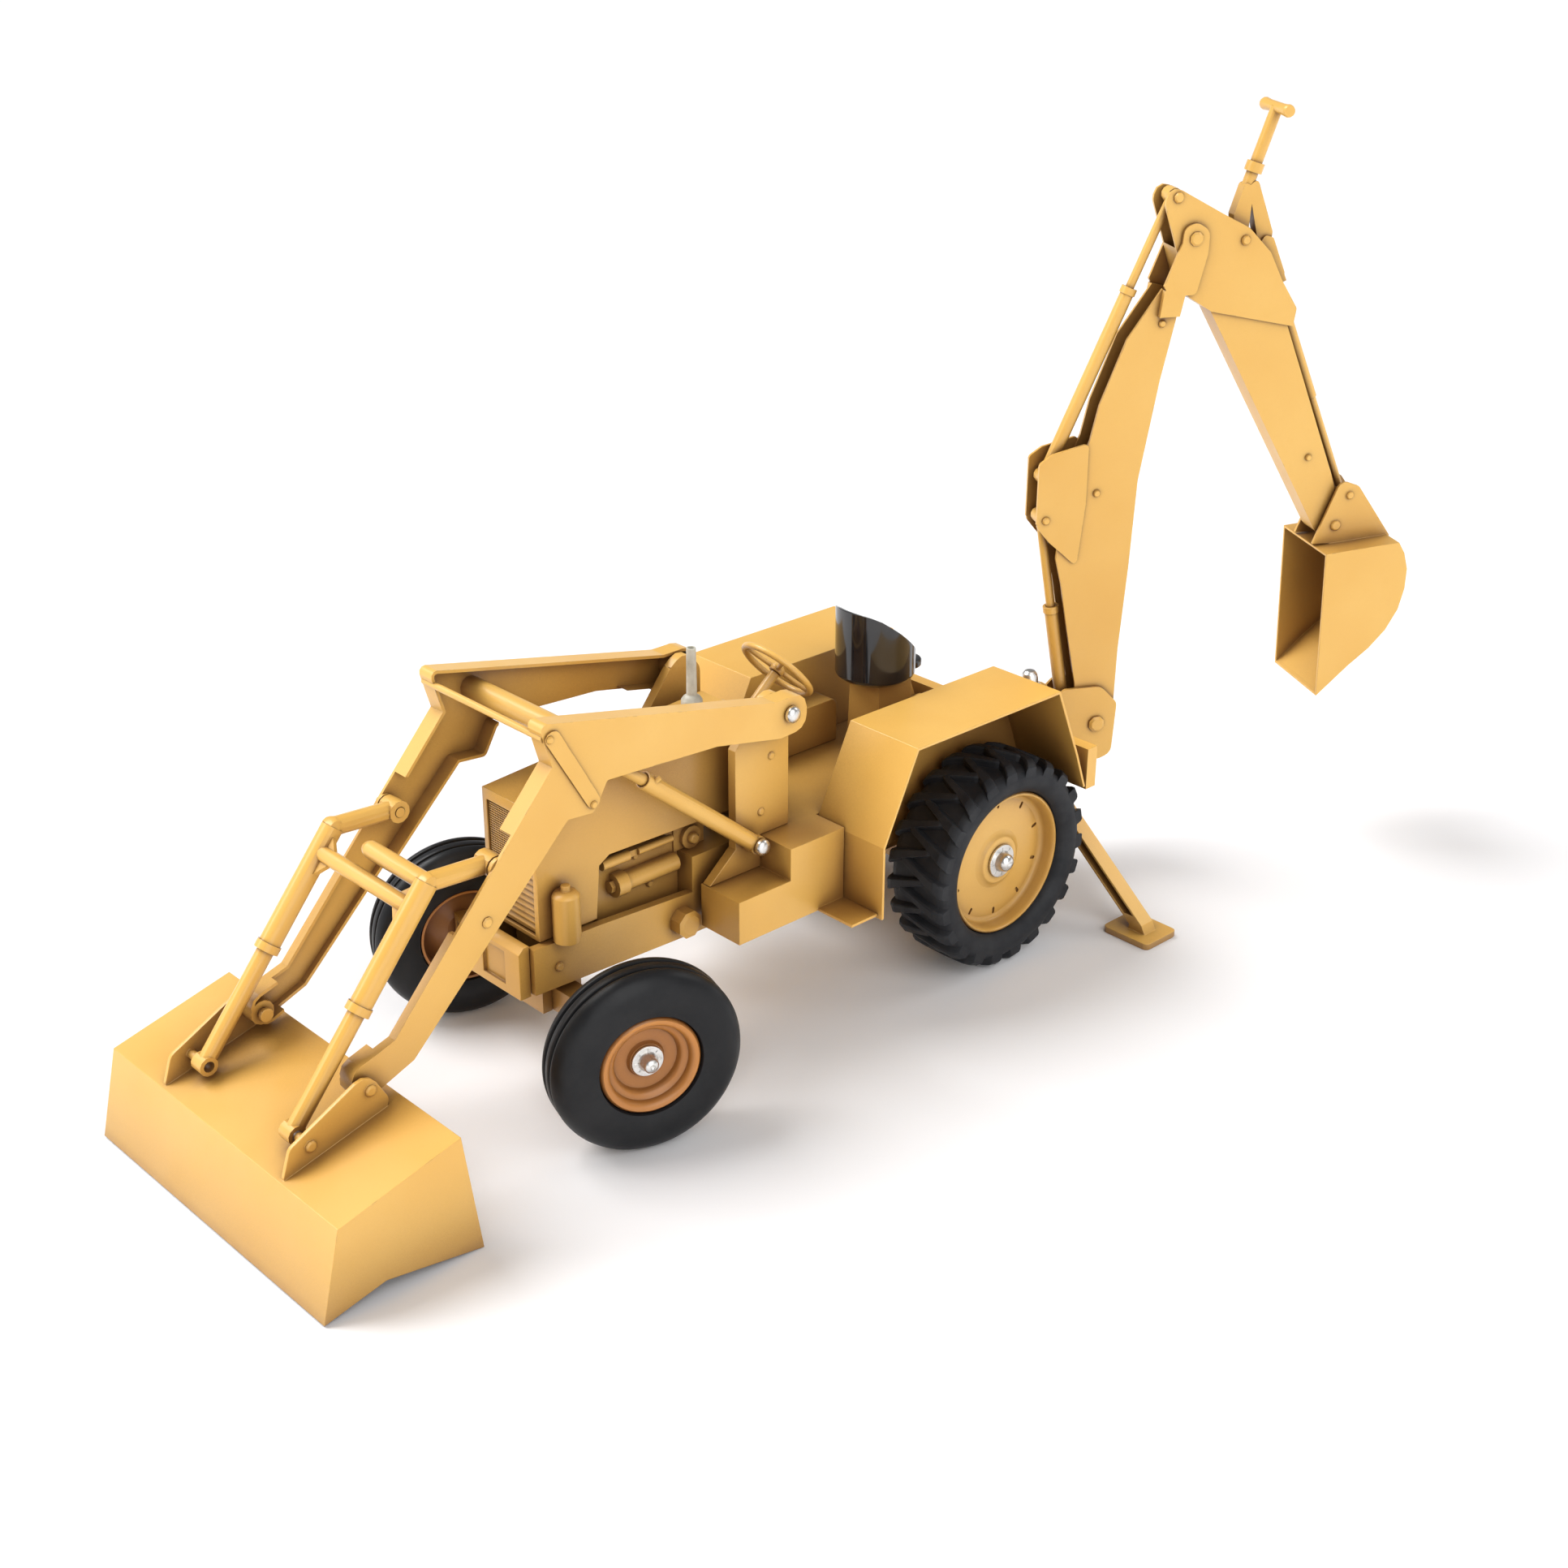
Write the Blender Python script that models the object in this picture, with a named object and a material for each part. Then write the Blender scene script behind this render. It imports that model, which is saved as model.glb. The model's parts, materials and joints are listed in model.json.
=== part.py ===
"""Toy backhoe loader at about 1:12: tractor, front loader, swung backhoe and two stabilisers.

Shapes are written in millimetres and become metres as each node is made. Tractor shapes use x to
the tractor's left, y to its back measured from the rear axle, and z up from the floor. Backhoe
shapes use the same axes measured from the swing pin, with the backhoe straight behind the tractor.
"""

import math

import bmesh
import bpy
from mathutils import Matrix, Vector

MM = 0.001
GAP = 0.3
SHEET = 1.6
AXLE_Y = 67.3
SWING_Y = 105.0
SWING_ANGLE = math.radians(-28.0)
STEER_ANGLE = math.radians(-17.7)

REAR_R = 60.0
FRONT_R = 48.25
FRONT_X = 63.3
FRONT_Y = -251.9
FRONT_REACH = 30.0
FENDER_IN = 38.2
FENDER_OUT = 86.7
RAIL_OUT = 24.0
STEP_OUT = 59.0
HOOD_HALF = 20.5
DECK_TOP = 108.8
FLOOR_TOP = 103.7

LIFT_PIVOT = (-131.0, 176.5)
LIFT_BASE = (-150.0, 109.0)
LIFT_END = (-246.5, 187.6)
LIFT_X = 41.7
TILT_PIVOT = (-309.0, 152.0)
TILT_BEND = (-343.0, 154.0)
TILT_END = (-421.3, 57.9)
TILT_REACH = 65.0
TILT_TUBE = 13.0
TILT_X = 38.0
BUCKET_PIVOT = (-389.3, 72.5)
BUCKET_HALF = 97.56

BOOM_PIVOT = (39.0, 86.0)
BOOM_BASE = (21.0, 98.0)
BOOM_END = (1.0, 214.0)
STICK_PIVOT = (78.2, 368.0)
STICK_BASE = (2.0, 237.0)
STICK_END = (67.0, 390.0)
LEVER_PIVOT = (108.4, 365.4)
LINK_TOP = (124.0, 362.0)
LINK_END = (187.7, 215.0)
REAR_BUCKET_PIVOT = (180.4, 197.3)
REAR_BUCKET_HALF = 27.5

STAB_PIVOT = (32.0, 75.0)
STAB_FOOT = (117.7, 4.1)
STAB_Y = (74.0, 84.0)


# ---------------------------------------------------------------- shapes

def loose(points, faces):
    """A closed mesh object in millimetres with its faces turned outwards."""
    shape = bmesh.new()
    corners = [shape.verts.new(point) for point in points]
    for face in faces:
        shape.faces.new([corners[i] for i in face])
    bmesh.ops.recalc_face_normals(shape, faces=shape.faces)
    mesh = bpy.data.meshes.new("shape")
    shape.to_mesh(mesh)
    shape.free()
    obj = bpy.data.objects.new("shape", mesh)
    bpy.context.scene.collection.objects.link(obj)
    return obj


def prism(outline, lo, hi, plane="yz"):
    """The outline pushed along the axis that its plane leaves out."""
    places = {
        "yz": lambda u, v, w: (w, u, v),
        "xz": lambda u, v, w: (u, w, v),
        "xy": lambda u, v, w: (u, v, w),
    }
    count = len(outline)
    points = [places[plane](u, v, w) for w in (lo, hi) for u, v in outline]
    faces = [list(range(count)), list(range(count, 2 * count))]
    for i in range(count):
        j = (i + 1) % count
        faces.append([i, j, j + count, i + count])
    return loose(points, faces)


def box(x, y, z):
    return prism([(x[0], y[0]), (x[1], y[0]), (x[1], y[1]), (x[0], y[1])], z[0], z[1], "xy")


def turned(profile, centre, axis, sides=24):
    """A lathed solid: the profile holds (radius, distance along the axis), starting and ending on the
    axis, or going once round a ring that stays clear of it."""
    along = Vector(axis).normalized()
    across = along.orthogonal().normalized()
    if abs(along.x) > 0.99:
        across = Vector((0, 0, 1))
    third = along.cross(across)
    middle = Vector(centre)
    ring = profile[0][0] > 0
    points = []
    rows = []
    for radius, height in profile:
        row = []
        for i in range(sides if radius > 0 else 1):
            turn = 2 * math.pi * (i + 0.5) / sides
            offset = across * math.cos(turn) * radius + third * math.sin(turn) * radius
            row.append(len(points))
            points.append(middle + along * height + offset)
        rows.append(row)
    faces = []
    pairs = list(zip(rows, rows[1:]))
    if ring:
        pairs.append((rows[-1], rows[0]))
    for low, high in pairs:
        for i in range(sides):
            j = (i + 1) % sides
            face = [low[i % len(low)], low[j % len(low)], high[j % len(high)], high[i % len(high)]]
            faces.append(list(dict.fromkeys(face)))
    return loose(points, faces)


def rod(start, end, radius, sides=12):
    start = Vector(start)
    axis = Vector(end) - start
    length = axis.length
    return turned([(0, 0), (radius, 0), (radius, length), (0, length)], start, axis, sides)


def cross_rod(point, x, radius, sides=12):
    """A rod along x through a (y, z) point."""
    return rod((x[0], point[0], point[1]), (x[1], point[0], point[1]), radius, sides)


def domed(point, x, radius, height):
    """A rod along x whose far end carries a low dome."""
    reach = abs(x[1] - x[0])
    profile = [(0, 0), (radius, 0), (radius, reach), (radius * 0.7, reach + height), (0, reach + height)]
    return turned(profile, (x[0], point[0], point[1]), (x[1] - x[0], 0, 0), 8)


def rounded(outline, steps=3):
    """The outline with an arc at each corner that carries a third number, its radius."""
    result = []
    for i, corner in enumerate(outline):
        here = Vector(corner[:2])
        if len(corner) == 2:
            result.append((here.x, here.y))
            continue
        before = (Vector(outline[i - 1][:2]) - here).normalized()
        after = (Vector(outline[(i + 1) % len(outline)][:2]) - here).normalized()
        half = before.angle(after) / 2
        centre = here + (before + after).normalized() * (corner[2] / math.sin(half))
        first = here + before * (corner[2] / math.tan(half)) - centre
        last = here + after * (corner[2] / math.tan(half)) - centre
        sweep = first.angle_signed(last)
        for step in range(steps + 1):
            turn = -sweep * step / steps
            spot = centre + Matrix.Rotation(turn, 2) @ first
            result.append((spot.x, spot.y))
    return result


def inset(outline, gap):
    """The outline moved inwards by the gap, or outwards where the gap is negative."""
    points = [Vector(point) for point in outline]
    count = len(points)
    area = sum(points[i - 1].x * points[i].y - points[i].x * points[i - 1].y for i in range(count))
    side = gap if area > 0 else -gap
    result = []
    for i, here in enumerate(points):
        back = (here - points[i - 1]).normalized()
        front = (points[(i + 1) % count] - here).normalized()
        normal = Vector((-back.y - front.y, back.x + front.x)).normalized()
        lean = normal.dot(Vector((-back.y, back.x)))
        spot = here + normal * (side / lean)
        result.append((spot.x, spot.y))
    return result


def moved(obj, matrix):
    obj.data.transform(matrix)
    if matrix.determinant() < 0:
        obj.data.flip_normals()
    return obj


def both(make):
    """A left shape and its mirror image."""
    return [make(), moved(make(), Matrix.Scale(-1, 4, (1, 0, 0)))]


def round_x(shape, count):
    """Copies of a shape spaced round the x axis."""
    copies = [shape]
    for i in range(1, count):
        copy = shape.copy()
        copy.data = shape.data.copy()
        bpy.context.scene.collection.objects.link(copy)
        copies.append(moved(copy, Matrix.Rotation(2 * math.pi * i / count, 4, "X")))
    return copies


def carved(adds, cuts):
    """A shape made of others, less the cuts, to join with more."""
    obj = bpy.data.objects.new("shape", solid(adds, cuts))
    bpy.context.scene.collection.objects.link(obj)
    return obj


# ---------------------------------------------------------------- nodes

def gathered(shapes, name):
    group = bpy.data.collections.new(name)
    bpy.context.scene.collection.children.link(group)
    for shape in shapes:
        group.objects.link(shape)
    return group


def solid(adds, cuts):
    """The mesh of the first shape joined with the others, less the cuts."""
    base = adds[0]
    groups = []
    for shapes, operation in ((adds[1:], "UNION"), (cuts, "DIFFERENCE")):
        if not shapes:
            continue
        group = gathered(shapes, operation)
        groups.append(group)
        modifier = base.modifiers.new(operation, "BOOLEAN")
        modifier.operand_type = "COLLECTION"
        modifier.collection = group
        modifier.operation = operation
        modifier.solver = "EXACT"
    bpy.context.view_layer.update()
    graph = bpy.context.evaluated_depsgraph_get()
    mesh = bpy.data.meshes.new_from_object(base.evaluated_get(graph))
    for shape in [*adds, *cuts]:
        bpy.data.objects.remove(shape)
    for group in groups:
        bpy.data.collections.remove(group)
    return mesh


def material(name, colour, metallic, roughness, coat=0.0):
    made = bpy.data.materials.new(name)
    made.use_nodes = True
    made.diffuse_color = (*colour, 1)
    shader = made.node_tree.nodes["Principled BSDF"]
    shader.inputs["Base Color"].default_value = (*colour, 1)
    shader.inputs["Metallic"].default_value = metallic
    shader.inputs["Roughness"].default_value = roughness
    shader.inputs["Coat Weight"].default_value = coat
    return made


def joint(name, point, frame, parent=None, turn=None):
    """An empty on a joint's axis, which carries the nodes of one body."""
    empty = bpy.data.objects.new(name, None)
    empty.empty_display_size = 0.01
    bpy.context.scene.collection.objects.link(empty)
    place = frame @ Matrix.Translation(point) @ (turn or Matrix.Identity(4))
    place.translation = place.translation * MM
    attach(empty, place, parent)
    return empty


def attach(obj, place, parent):
    if parent:
        obj.parent = parent
        place = parent.matrix_world.inverted() @ place
    obj.matrix_basis = place
    bpy.context.view_layer.update()


def node(name, look, body, frame, adds, cuts=(), flip=False):
    """One closed body: shapes in a frame's millimetres, hung on the empty of the body it moves with."""
    mesh = solid(list(adds), list(cuts))
    mesh.name = name
    if flip:
        mesh.transform(Matrix.Scale(-1, 4, (1, 0, 0)))
        mesh.flip_normals()
    to_world = Matrix.Scale(MM, 4) @ frame
    mesh.transform(body.matrix_world.inverted() @ to_world)
    mesh.materials.clear()
    mesh.materials.append(look)
    mesh.shade_smooth()
    mesh.set_sharp_from_angle(angle=math.radians(32))
    made = bpy.data.objects.new(name, mesh)
    bpy.context.scene.collection.objects.link(made)
    attach(made, body.matrix_world.copy(), body)
    return made


def at_x(point, x):
    return (x, point[0], point[1])


def along(start, end, distance):
    """The (y, z) point this far from start on the line to end."""
    direction = (Vector(end) - Vector(start)).normalized()
    spot = Vector(start) + direction * distance
    return (spot.x, spot.y)


# ---------------------------------------------------------------- tractor

def chassis_frame():
    rail = [(-276.7, 63), (-276.7, 88), (-236, 87), (-176, 83.8), (-176, 60)]
    adds = [box((-RAIL_OUT, RAIL_OUT), (-176.5, -24), (60, FLOOR_TOP))]
    adds += both(lambda: prism(rail, 19.5, RAIL_OUT))
    adds.append(box((-22, 22), (-276.7, -271.5), (63, 84)))
    adds.append(box((-22, 22), (-276, -176), (62.5, 66)))
    adds.append(box((-12, 12), (-264, -258.4), (42.5, 64)))
    adds.append(box((-12, 12), (-245.6, -240), (42.5, 64)))
    adds.append(rod((0, -262, 50.5), (0, -242, 50.5), 4.0))
    adds.append(box((-22, 22), (-26, 52.2), (50, FLOOR_TOP)))
    half = [(13, 40), (9, 41), (9, 43.5), (6, 43.5), (6, 74), (0, 74)]
    shaft = [(r, -x) for r, x in reversed(half)] + half
    adds.append(turned(shaft, (0, 0, 60), (1, 0, 0), 12))
    adds += both(lambda: domed((-184.5, 71), (18, 31.5), 7.6, 1.0))
    adds += both(lambda: domed((-262, 74), (23, 25.0), 2.4, 0.8))
    cuts = [box((-15, 15), (-140, -40), (50, 62))]
    return adds, cuts


def front_weight():
    side = rounded([(-283.5, 61.5), (-277.1, 61.5), (-277.1, 89.5), (-280.5, 89.5), (-283.5, 86.5)])
    return [prism(side, -21, 21)], [box((-9, 9), (-290, -281.8), (66, 84))]


def hood():
    bottom = [(-235, 88.6), (-232.5, 117), (-226, 121), (-131, 119)]
    side = [(-270.3, 88.6), *bottom, (-131, 168), (-270.3, 158)]
    inner = [(-268.7, 80), (-230, 80), (-226, 100), (-120, 100), (-120, 166.9), (-268.7, 156.3)]
    shell = prism(side, -HOOD_HALF, HOOD_HALF)
    cuts = [prism(inner, -HOOD_HALF + SHEET, HOOD_HALF - SHEET)]
    cuts.append(box((-17.2, 17.2), (-280, -265), (91, 152)))
    edge = [(HOOD_HALF - 1.8, 0), (HOOD_HALF + 5, 6.8), (HOOD_HALF + 5, -6.8)]
    lean = math.atan2(10, 139.3)
    for sign in (1, -1):
        bevel = prism([(u * sign, v) for u, v in edge], -150, 150, "xz")
        place = Matrix.Translation((0, -200.65, 164.6 - 0.4)) @ Matrix.Rotation(lean, 4, "X")
        cuts.append(moved(bevel, place))
    return [shell, oil_filter()], cuts


def grille():
    adds = [box((-16.9, 16.9), (-268.6, -267.2), (91.3, 151.7))]
    for i in range(9):
        z = 94 + i * 3.4
        adds.append(box((-16.9, 16.9), (-269.6, -267.5), (z, z + 1.2)))
    for i in range(9):
        x = -15.4 + i * 3.85
        adds.append(box((x - 0.4, x + 0.4), (-269.4, -267.5), (124, 149.5)))
    return adds, []


def engine_block():
    adds = [box((-13, 13), (-229, -177), (66.4, 118))]
    adds.append(box((-14, 14), (-180, -160), (104.1, 118)))
    adds.append(box((-10, 10), (-262, -228), (70, 112)))
    adds.append(rod((17, -229, 114.6), (17, -212, 114.6), 2.9))
    adds.append(rod((17, -206, 114.6), (17, -184, 114.6), 2.0))
    adds.append(box((12, 17), (-226, -186), (112.6, 116)))
    adds.append(rod((15.5, -214, 100), (15.5, -181, 100), 5.0))
    adds.append(turned([(3, 0), (6.4, 0), (6.4, 7), (3, 7)], (15.5, -221, 100), (0, 1, 0), 12))
    adds.append(rod((15.5, -223.5, 100), (15.5, -212, 100), 3.2, 6))
    adds.append(cross_rod((-170, 110), (12, 16.5), 6.3, 12))
    adds.append(domed((-170, 110), (15, 18.5), 3.2, 1.0))
    adds.append(domed((-205, 110.5), (12, 14), 2.0, 0.8))
    adds.append(domed((-196, 92), (12, 14), 2.0, 0.8))
    adds.append(box((-18, -12), (-224, -186), (104, 116)))
    return adds, []


def oil_filter():
    """The canister on the hood's left panel."""
    profile = [(0, 88.6), (7, 88.6), (7, 113), (5.5, 115), (2.4, 115.6), (2.4, 118.4), (0, 118.8)]
    return turned(profile, (27.0, -258.5, 0), (0, 0, 1), 12)


def exhaust_stack():
    profile = [
        (0, 166.9), (5.5, 166.9), (5.5, 176), (4.2, 178),
        (2.6, 179), (2.5, 204), (1.8, 204), (1.8, 196), (0, 196),
    ]
    return [turned(profile, (0, -154.5, 0), (0, 0, 1), 16)], []


def cab_platform():
    lower = [(-176, 67), (-176, 91), (-141, 91), (-141, DECK_TOP), (-103.6, DECK_TOP), (-103.6, 67)]
    adds = [box((-37.9, 37.9), (-103.8, 52.2), (FLOOR_TOP + GAP, DECK_TOP))]
    adds.append(box((-33, 33), (-139, -103), (FLOOR_TOP + GAP, DECK_TOP)))
    adds += both(lambda: prism(lower, 30, STEP_OUT))
    adds += both(lambda: box((56, 84), (-122, -103.6), (67, 68.6)))
    inner = [(-174.4, 60), (-174.4, 89.4), (-139.4, 89.4), (-139.4, 107.2), (-105.2, 107.2), (-105.2, 60)]
    cuts = both(lambda: prism(inner, 31.6, STEP_OUT - SHEET))
    return adds, cuts


def dash():
    side = [(-130.5, DECK_TOP + GAP), (-110, DECK_TOP + GAP), (-112, 150), (-118, 160), (-130.5, 163.5)]
    adds = [prism(side, -18, 18)]
    hub = Vector((0, -96, 176))
    axis = Vector((0, 0.766, 0.643))
    adds.append(rod(hub - axis * 42, hub - axis * 2.3, 2.8))
    adds.append(rod(hub - axis * 36, hub - axis * 22, 4.2))
    return adds, []


def side_console():
    side = rounded([(-90, DECK_TOP + GAP), (-30, DECK_TOP + GAP), (-30, 134, 4), (-90, 134, 4)])
    adds = [prism(side, -37.9, -23)]
    for y in (-78, -66, -54):
        adds.append(rod((-30.5, y, 132), (-30.5, y, 141), 1.0, 10))
        knob = [(0, 0), (1.6, 0.6), (2.1, 2), (1.4, 3.4), (0, 3.8)]
        adds.append(turned(knob, (-30.5, y, 140), (0, 0, 1), 12))
    return adds, []


def seat_pedestal():
    front = [(-13, DECK_TOP + GAP), (13, DECK_TOP + GAP), (11, 151.7), (-11, 151.7)]
    adds = [prism(front, -32, -7, "xz"), rod((0, -20, 148), (0, -20, 155), 3.0)]
    arch = rounded([(-27, 100), (-12, 100), (-12, 138, 7), (-27, 138, 7)])
    return adds, [prism(arch, -20, 16)]


def seat():
    radius = 21.8
    adds = [turned([(0, 152), (18, 152), (radius, 155), (radius, 196), (0, 196)], (0, -24, 0), (0, 0, 1), 32)]
    lip = rounded([(-8, -6), (8, -6), (7, 8, 3), (-7, 8, 3)])
    adds.append(prism(lip, 152.4, 156.6, "xy"))
    cuts = [turned([(0, 158), (19, 158), (19.3, 200), (0, 200)], (0, -24, 0), (0, 0, 1), 32)]
    top = [(-50, 194.5), (-43, 194.5), (-37, 191.4), (-7, 165.6), (-4, 158.5), (20, 158.5), (20, 210), (-50, 210)]
    cuts.append(prism(top, -40, 40))
    cuts.append(rod((0, -20, 148), (0, -20, 155.4), 3.3))
    return adds, cuts


def steering_wheel():
    hub = Vector((0, -96, 176))
    axis = Vector((0, 0.766, 0.643))
    rim = []
    for i in range(6):
        turn = 2 * math.pi * i / 6
        rim.append((20.4 + 1.9 * math.cos(turn), 1.9 * math.sin(turn)))
    adds = [turned(rim, hub, axis, 24)]
    adds.append(turned([(0, -2), (4, -2), (4.4, 0.5), (2.6, 2.4), (0, 2.8)], hub, axis, 12))
    third = axis.normalized().cross(Vector((1, 0, 0)))
    for i in range(4):
        turn = math.pi * (i / 2 + 0.25)
        tip = Vector((1, 0, 0)) * math.cos(turn) + third * math.sin(turn)
        adds.append(rod(hub + tip * 2.5, hub + tip * 20.4, 1.3, 6))
    return adds, []


def tower():
    side = [
        (-158, 91.3), (-141.3, 91.3), (-141.3, DECK_TOP + GAP), (-122, DECK_TOP + GAP),
        (-122, 176, 8), (-132, 188, 8), (-142, 180, 4), (-158, 160),
    ]
    adds = [prism(rounded(side), 31, 36.5)]
    adds.append(prism([(-175.7, 91.3), (-157, 91.3), (-157, 107)], 31, 36.5))
    adds.append(cross_rod(LIFT_BASE, (31, 36.5), 8.0, 12))
    adds.append(cross_rod(LIFT_BASE, (33, 46.6), 2.5))
    adds.append(cross_rod(LIFT_PIVOT, (33, 48.1), 3.4))
    for point in ((-134, 151), (-141, 122)):
        adds.append(domed(point, (35, 36.7), 2.3, 0.8))
    return adds, []


def tower_cap(point, x, radius):
    """The silver cap on the end of a loader pin."""
    return [domed(point, x, radius, 2.4)], []


def fender():
    arch = [(-103.1, 65.4), (-103.1, 106.5), (-80, 155), (29, 155), (46.9, 112.6), (54.8, 91)]
    hollow = inset([(-103.1, 50), *arch[1:-1], (69.8, 50)], SHEET)
    return [prism(arch, FENDER_IN, FENDER_OUT)], [prism(hollow, FENDER_IN + SHEET, FENDER_OUT + 5)]


def rear_frame():
    adds = [box((-FENDER_OUT, FENDER_OUT), (55.2, 62.9), (89, 113))]
    adds.append(box((-26, 26), (52.6, 62.9), (62, 112.5)))
    adds.append(box((-24, 20), (60, 92), (62, 109.2)))
    adds.append(rod((0, SWING_Y, 104.2), (0, SWING_Y, 109.2), 11, 20))
    adds.append(rod((0, SWING_Y, 62), (0, SWING_Y, 66.7), 11, 20))
    adds.append(box((-11, 11), (88, SWING_Y), (104.2, 109.2)))
    adds.append(box((-11, 11), (88, SWING_Y), (62, 66.7)))
    for low in (69.6, 84.4):
        adds += both(lambda: box((20, 33), (low, low + 4), (68, 82)))
        adds += both(lambda: rod((32, low, 75), (32, low + 4, 75), 7, 12))
    adds += both(lambda: rod((32, 70, 75), (32, 88, 75), 2.5))
    adds += both(lambda: rod((32, 87, 75), (32, 89.6, 75), 3.6))
    adds.append(rod((0, SWING_Y, 64), (0, SWING_Y, 107), 4.0))
    return adds, both(lambda: box((24.4, 30), (STAB_Y[0] - GAP, STAB_Y[1] + GAP), (60, 90)))


def swing_pin():
    profile = [(0, 109.5), (7, 109.5), (7, 111), (5, 111.4), (5, 116), (3.6, 119), (0, 120.2)]
    return [turned(profile, (0, SWING_Y, 0), (0, 0, 1), 16)], []


# ---------------------------------------------------------------- wheels and steering

def front_axle():
    adds = [prism([(-58, 46), (-14, 42.5), (14, 42.5), (58, 46), (58, 56), (-58, 56)], -258.1, -245.9, "xz")]
    for x in (-FRONT_X, FRONT_X):
        adds.append(rod((x, FRONT_Y, 42.2), (x, FRONT_Y, 57.5), 6.3, 12))
    cuts = [rod((0, -270, 50.5), (0, -230, 50.5), 4.0 + GAP)]
    for x in (-FRONT_X, FRONT_X):
        cuts.append(rod((x, FRONT_Y, 30), (x, FRONT_Y, 70), 2.6 + GAP))
    return adds, cuts


def knuckle():
    """In the frame of one front wheel: x outwards from the kingpin, z from the floor."""
    adds = [rod((0, 0, 38.4), (0, 0, 61), 2.6)]
    for low in (38.4, 57.9):
        adds.append(rod((0, 0, low), (0, 0, low + 3.3), 6.3, 12))
        adds.append(box((0, 11), (-6, 6), (low, low + 3.3)))
    adds.append(box((7.6, 11), (-6, 6), (38.4, 61.2)))
    adds.append(rod((9, 0, 48.25), (24.1, 0, 48.25), 5, 12))
    return adds, []


def steer_arm(side):
    """The arm of a knuckle that reaches back over the tie rod, in the same frame."""
    return [box((-2.6, 2.6), (3, 12), (38.4, 41)) if side > 0 else box((-2.6, 2.6), (-16, -3), (38.4, 41))]


def tie_rod():
    """The rod under the two steering arms, which it moves with but does not touch."""
    ends = []
    for side in (1, -1):
        spot = Matrix.Rotation(STEER_ANGLE, 2) @ Vector((0, 14))
        ends.append((FRONT_X * side + spot.x, FRONT_Y + spot.y))
    adds = [rod((*ends[0], 35.8), (*ends[1], 35.8), 1.9)]
    for x, y in ends:
        adds.append(rod((x, y, 34.2), (x, y, 38), 3.4))
    return adds, []


def front_rim():
    profile = [
        (25.8, -0.6), (24.6, 0.6), (22.4, -3.6), (17.6, -4.2),
        (16.2, -7.4), (9.2, -8), (8.6, -6), (5 + GAP, -6),
        (5 + GAP, -15), (9, -15), (23.4, -8.5), (24.3, -23.2), (25.8, -23.2),
    ]
    return [turned(profile, (0, 0, 0), (1, 0, 0), 26)], []


def front_tyre():
    middle = -11.75
    half = [(26.1, 11.2), (28, 13.2), (34, 13.75), (41, 13), (46, 9.6), (FRONT_R, 6)]
    tread = [(FRONT_R - 1.2, 3.4), (FRONT_R, 2.2)]
    outer = [(r, middle + x) for r, x in [*half, *tread]]
    inner = [(r, middle - x) for r, x in reversed([*half, *tread])]
    return [turned([*outer, *inner], (0, 0, 0), (1, 0, 0), 30)], []


def front_hub():
    profile = [(0, -5.7), (8, -5.7), (8, -4.2), (5.6, -3.6), (5, -1), (3.8, 0.9), (0, 1.7)]
    return [turned(profile, (0, 0, 0), (1, 0, 0), 16)], []


def rear_rim():
    profile = [
        (40.9, 79.4), (39.4, 80.4), (37, 73), (35.6, 71.6), (24, 72), (14, 73.4), (13, 75), (6.3, 75),
        (6.3, 64), (13, 64), (24, 68.6), (38.6, 68), (39.2, 50), (40.9, 50),
    ]
    slot = [(30, -1.1), (34.5, -1.1), (34.5, 1.1), (30, 1.1)]
    slots = round_x(prism([(v, u) for u, v in slot], 60, 80), 10)
    return [turned(profile, (0, 0, 0), (1, 0, 0), 28)], slots


def rear_tyre():
    middle = 65.0
    half = [(41.2, 14.6), (44.5, 19.2), (50, 20.5), (55.6, 17)]
    outer = [(r, middle + x) for r, x in half]
    inner = [(r, middle - x) for r, x in reversed(half)]
    adds = [turned([*outer, *inner], (0, 0, 0), (1, 0, 0), 28)]
    count = 22
    lean = math.radians(19)
    stations = [
        (middle - 0.8, -lean / 2, 4.4, 52.0, REAR_R),
        (middle + 19.9, lean / 2, 6.2, 49.5, REAR_R - 1.2),
    ]
    for sign in (1, -1):
        points = []
        for x, turn, width, low, high in stations:
            place = middle + (x - middle) * sign
            for radius, edge in ((low, -1), (low, 1), (high, 1), (high, -1)):
                spread = turn + edge * width / 2 / REAR_R + (0 if sign > 0 else math.pi / count)
                points.append((place, -radius * math.sin(spread), radius * math.cos(spread)))
        sides = [(0, 1, 5, 4), (1, 2, 6, 5), (2, 3, 7, 6), (3, 0, 4, 7)]
        adds += round_x(loose(points, [(0, 1, 2, 3), (4, 5, 6, 7), *sides]), count)
    return adds, []


def rear_nut():
    profile = [(0, 75.3), (9.4, 75.3), (9.4, 76.8), (5.4, 77.2), (5, 80), (3.4, 82), (0, 82.6)]
    return [turned(profile, (0, 0, 0), (1, 0, 0), 16)], []


# ---------------------------------------------------------------- loader

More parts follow.
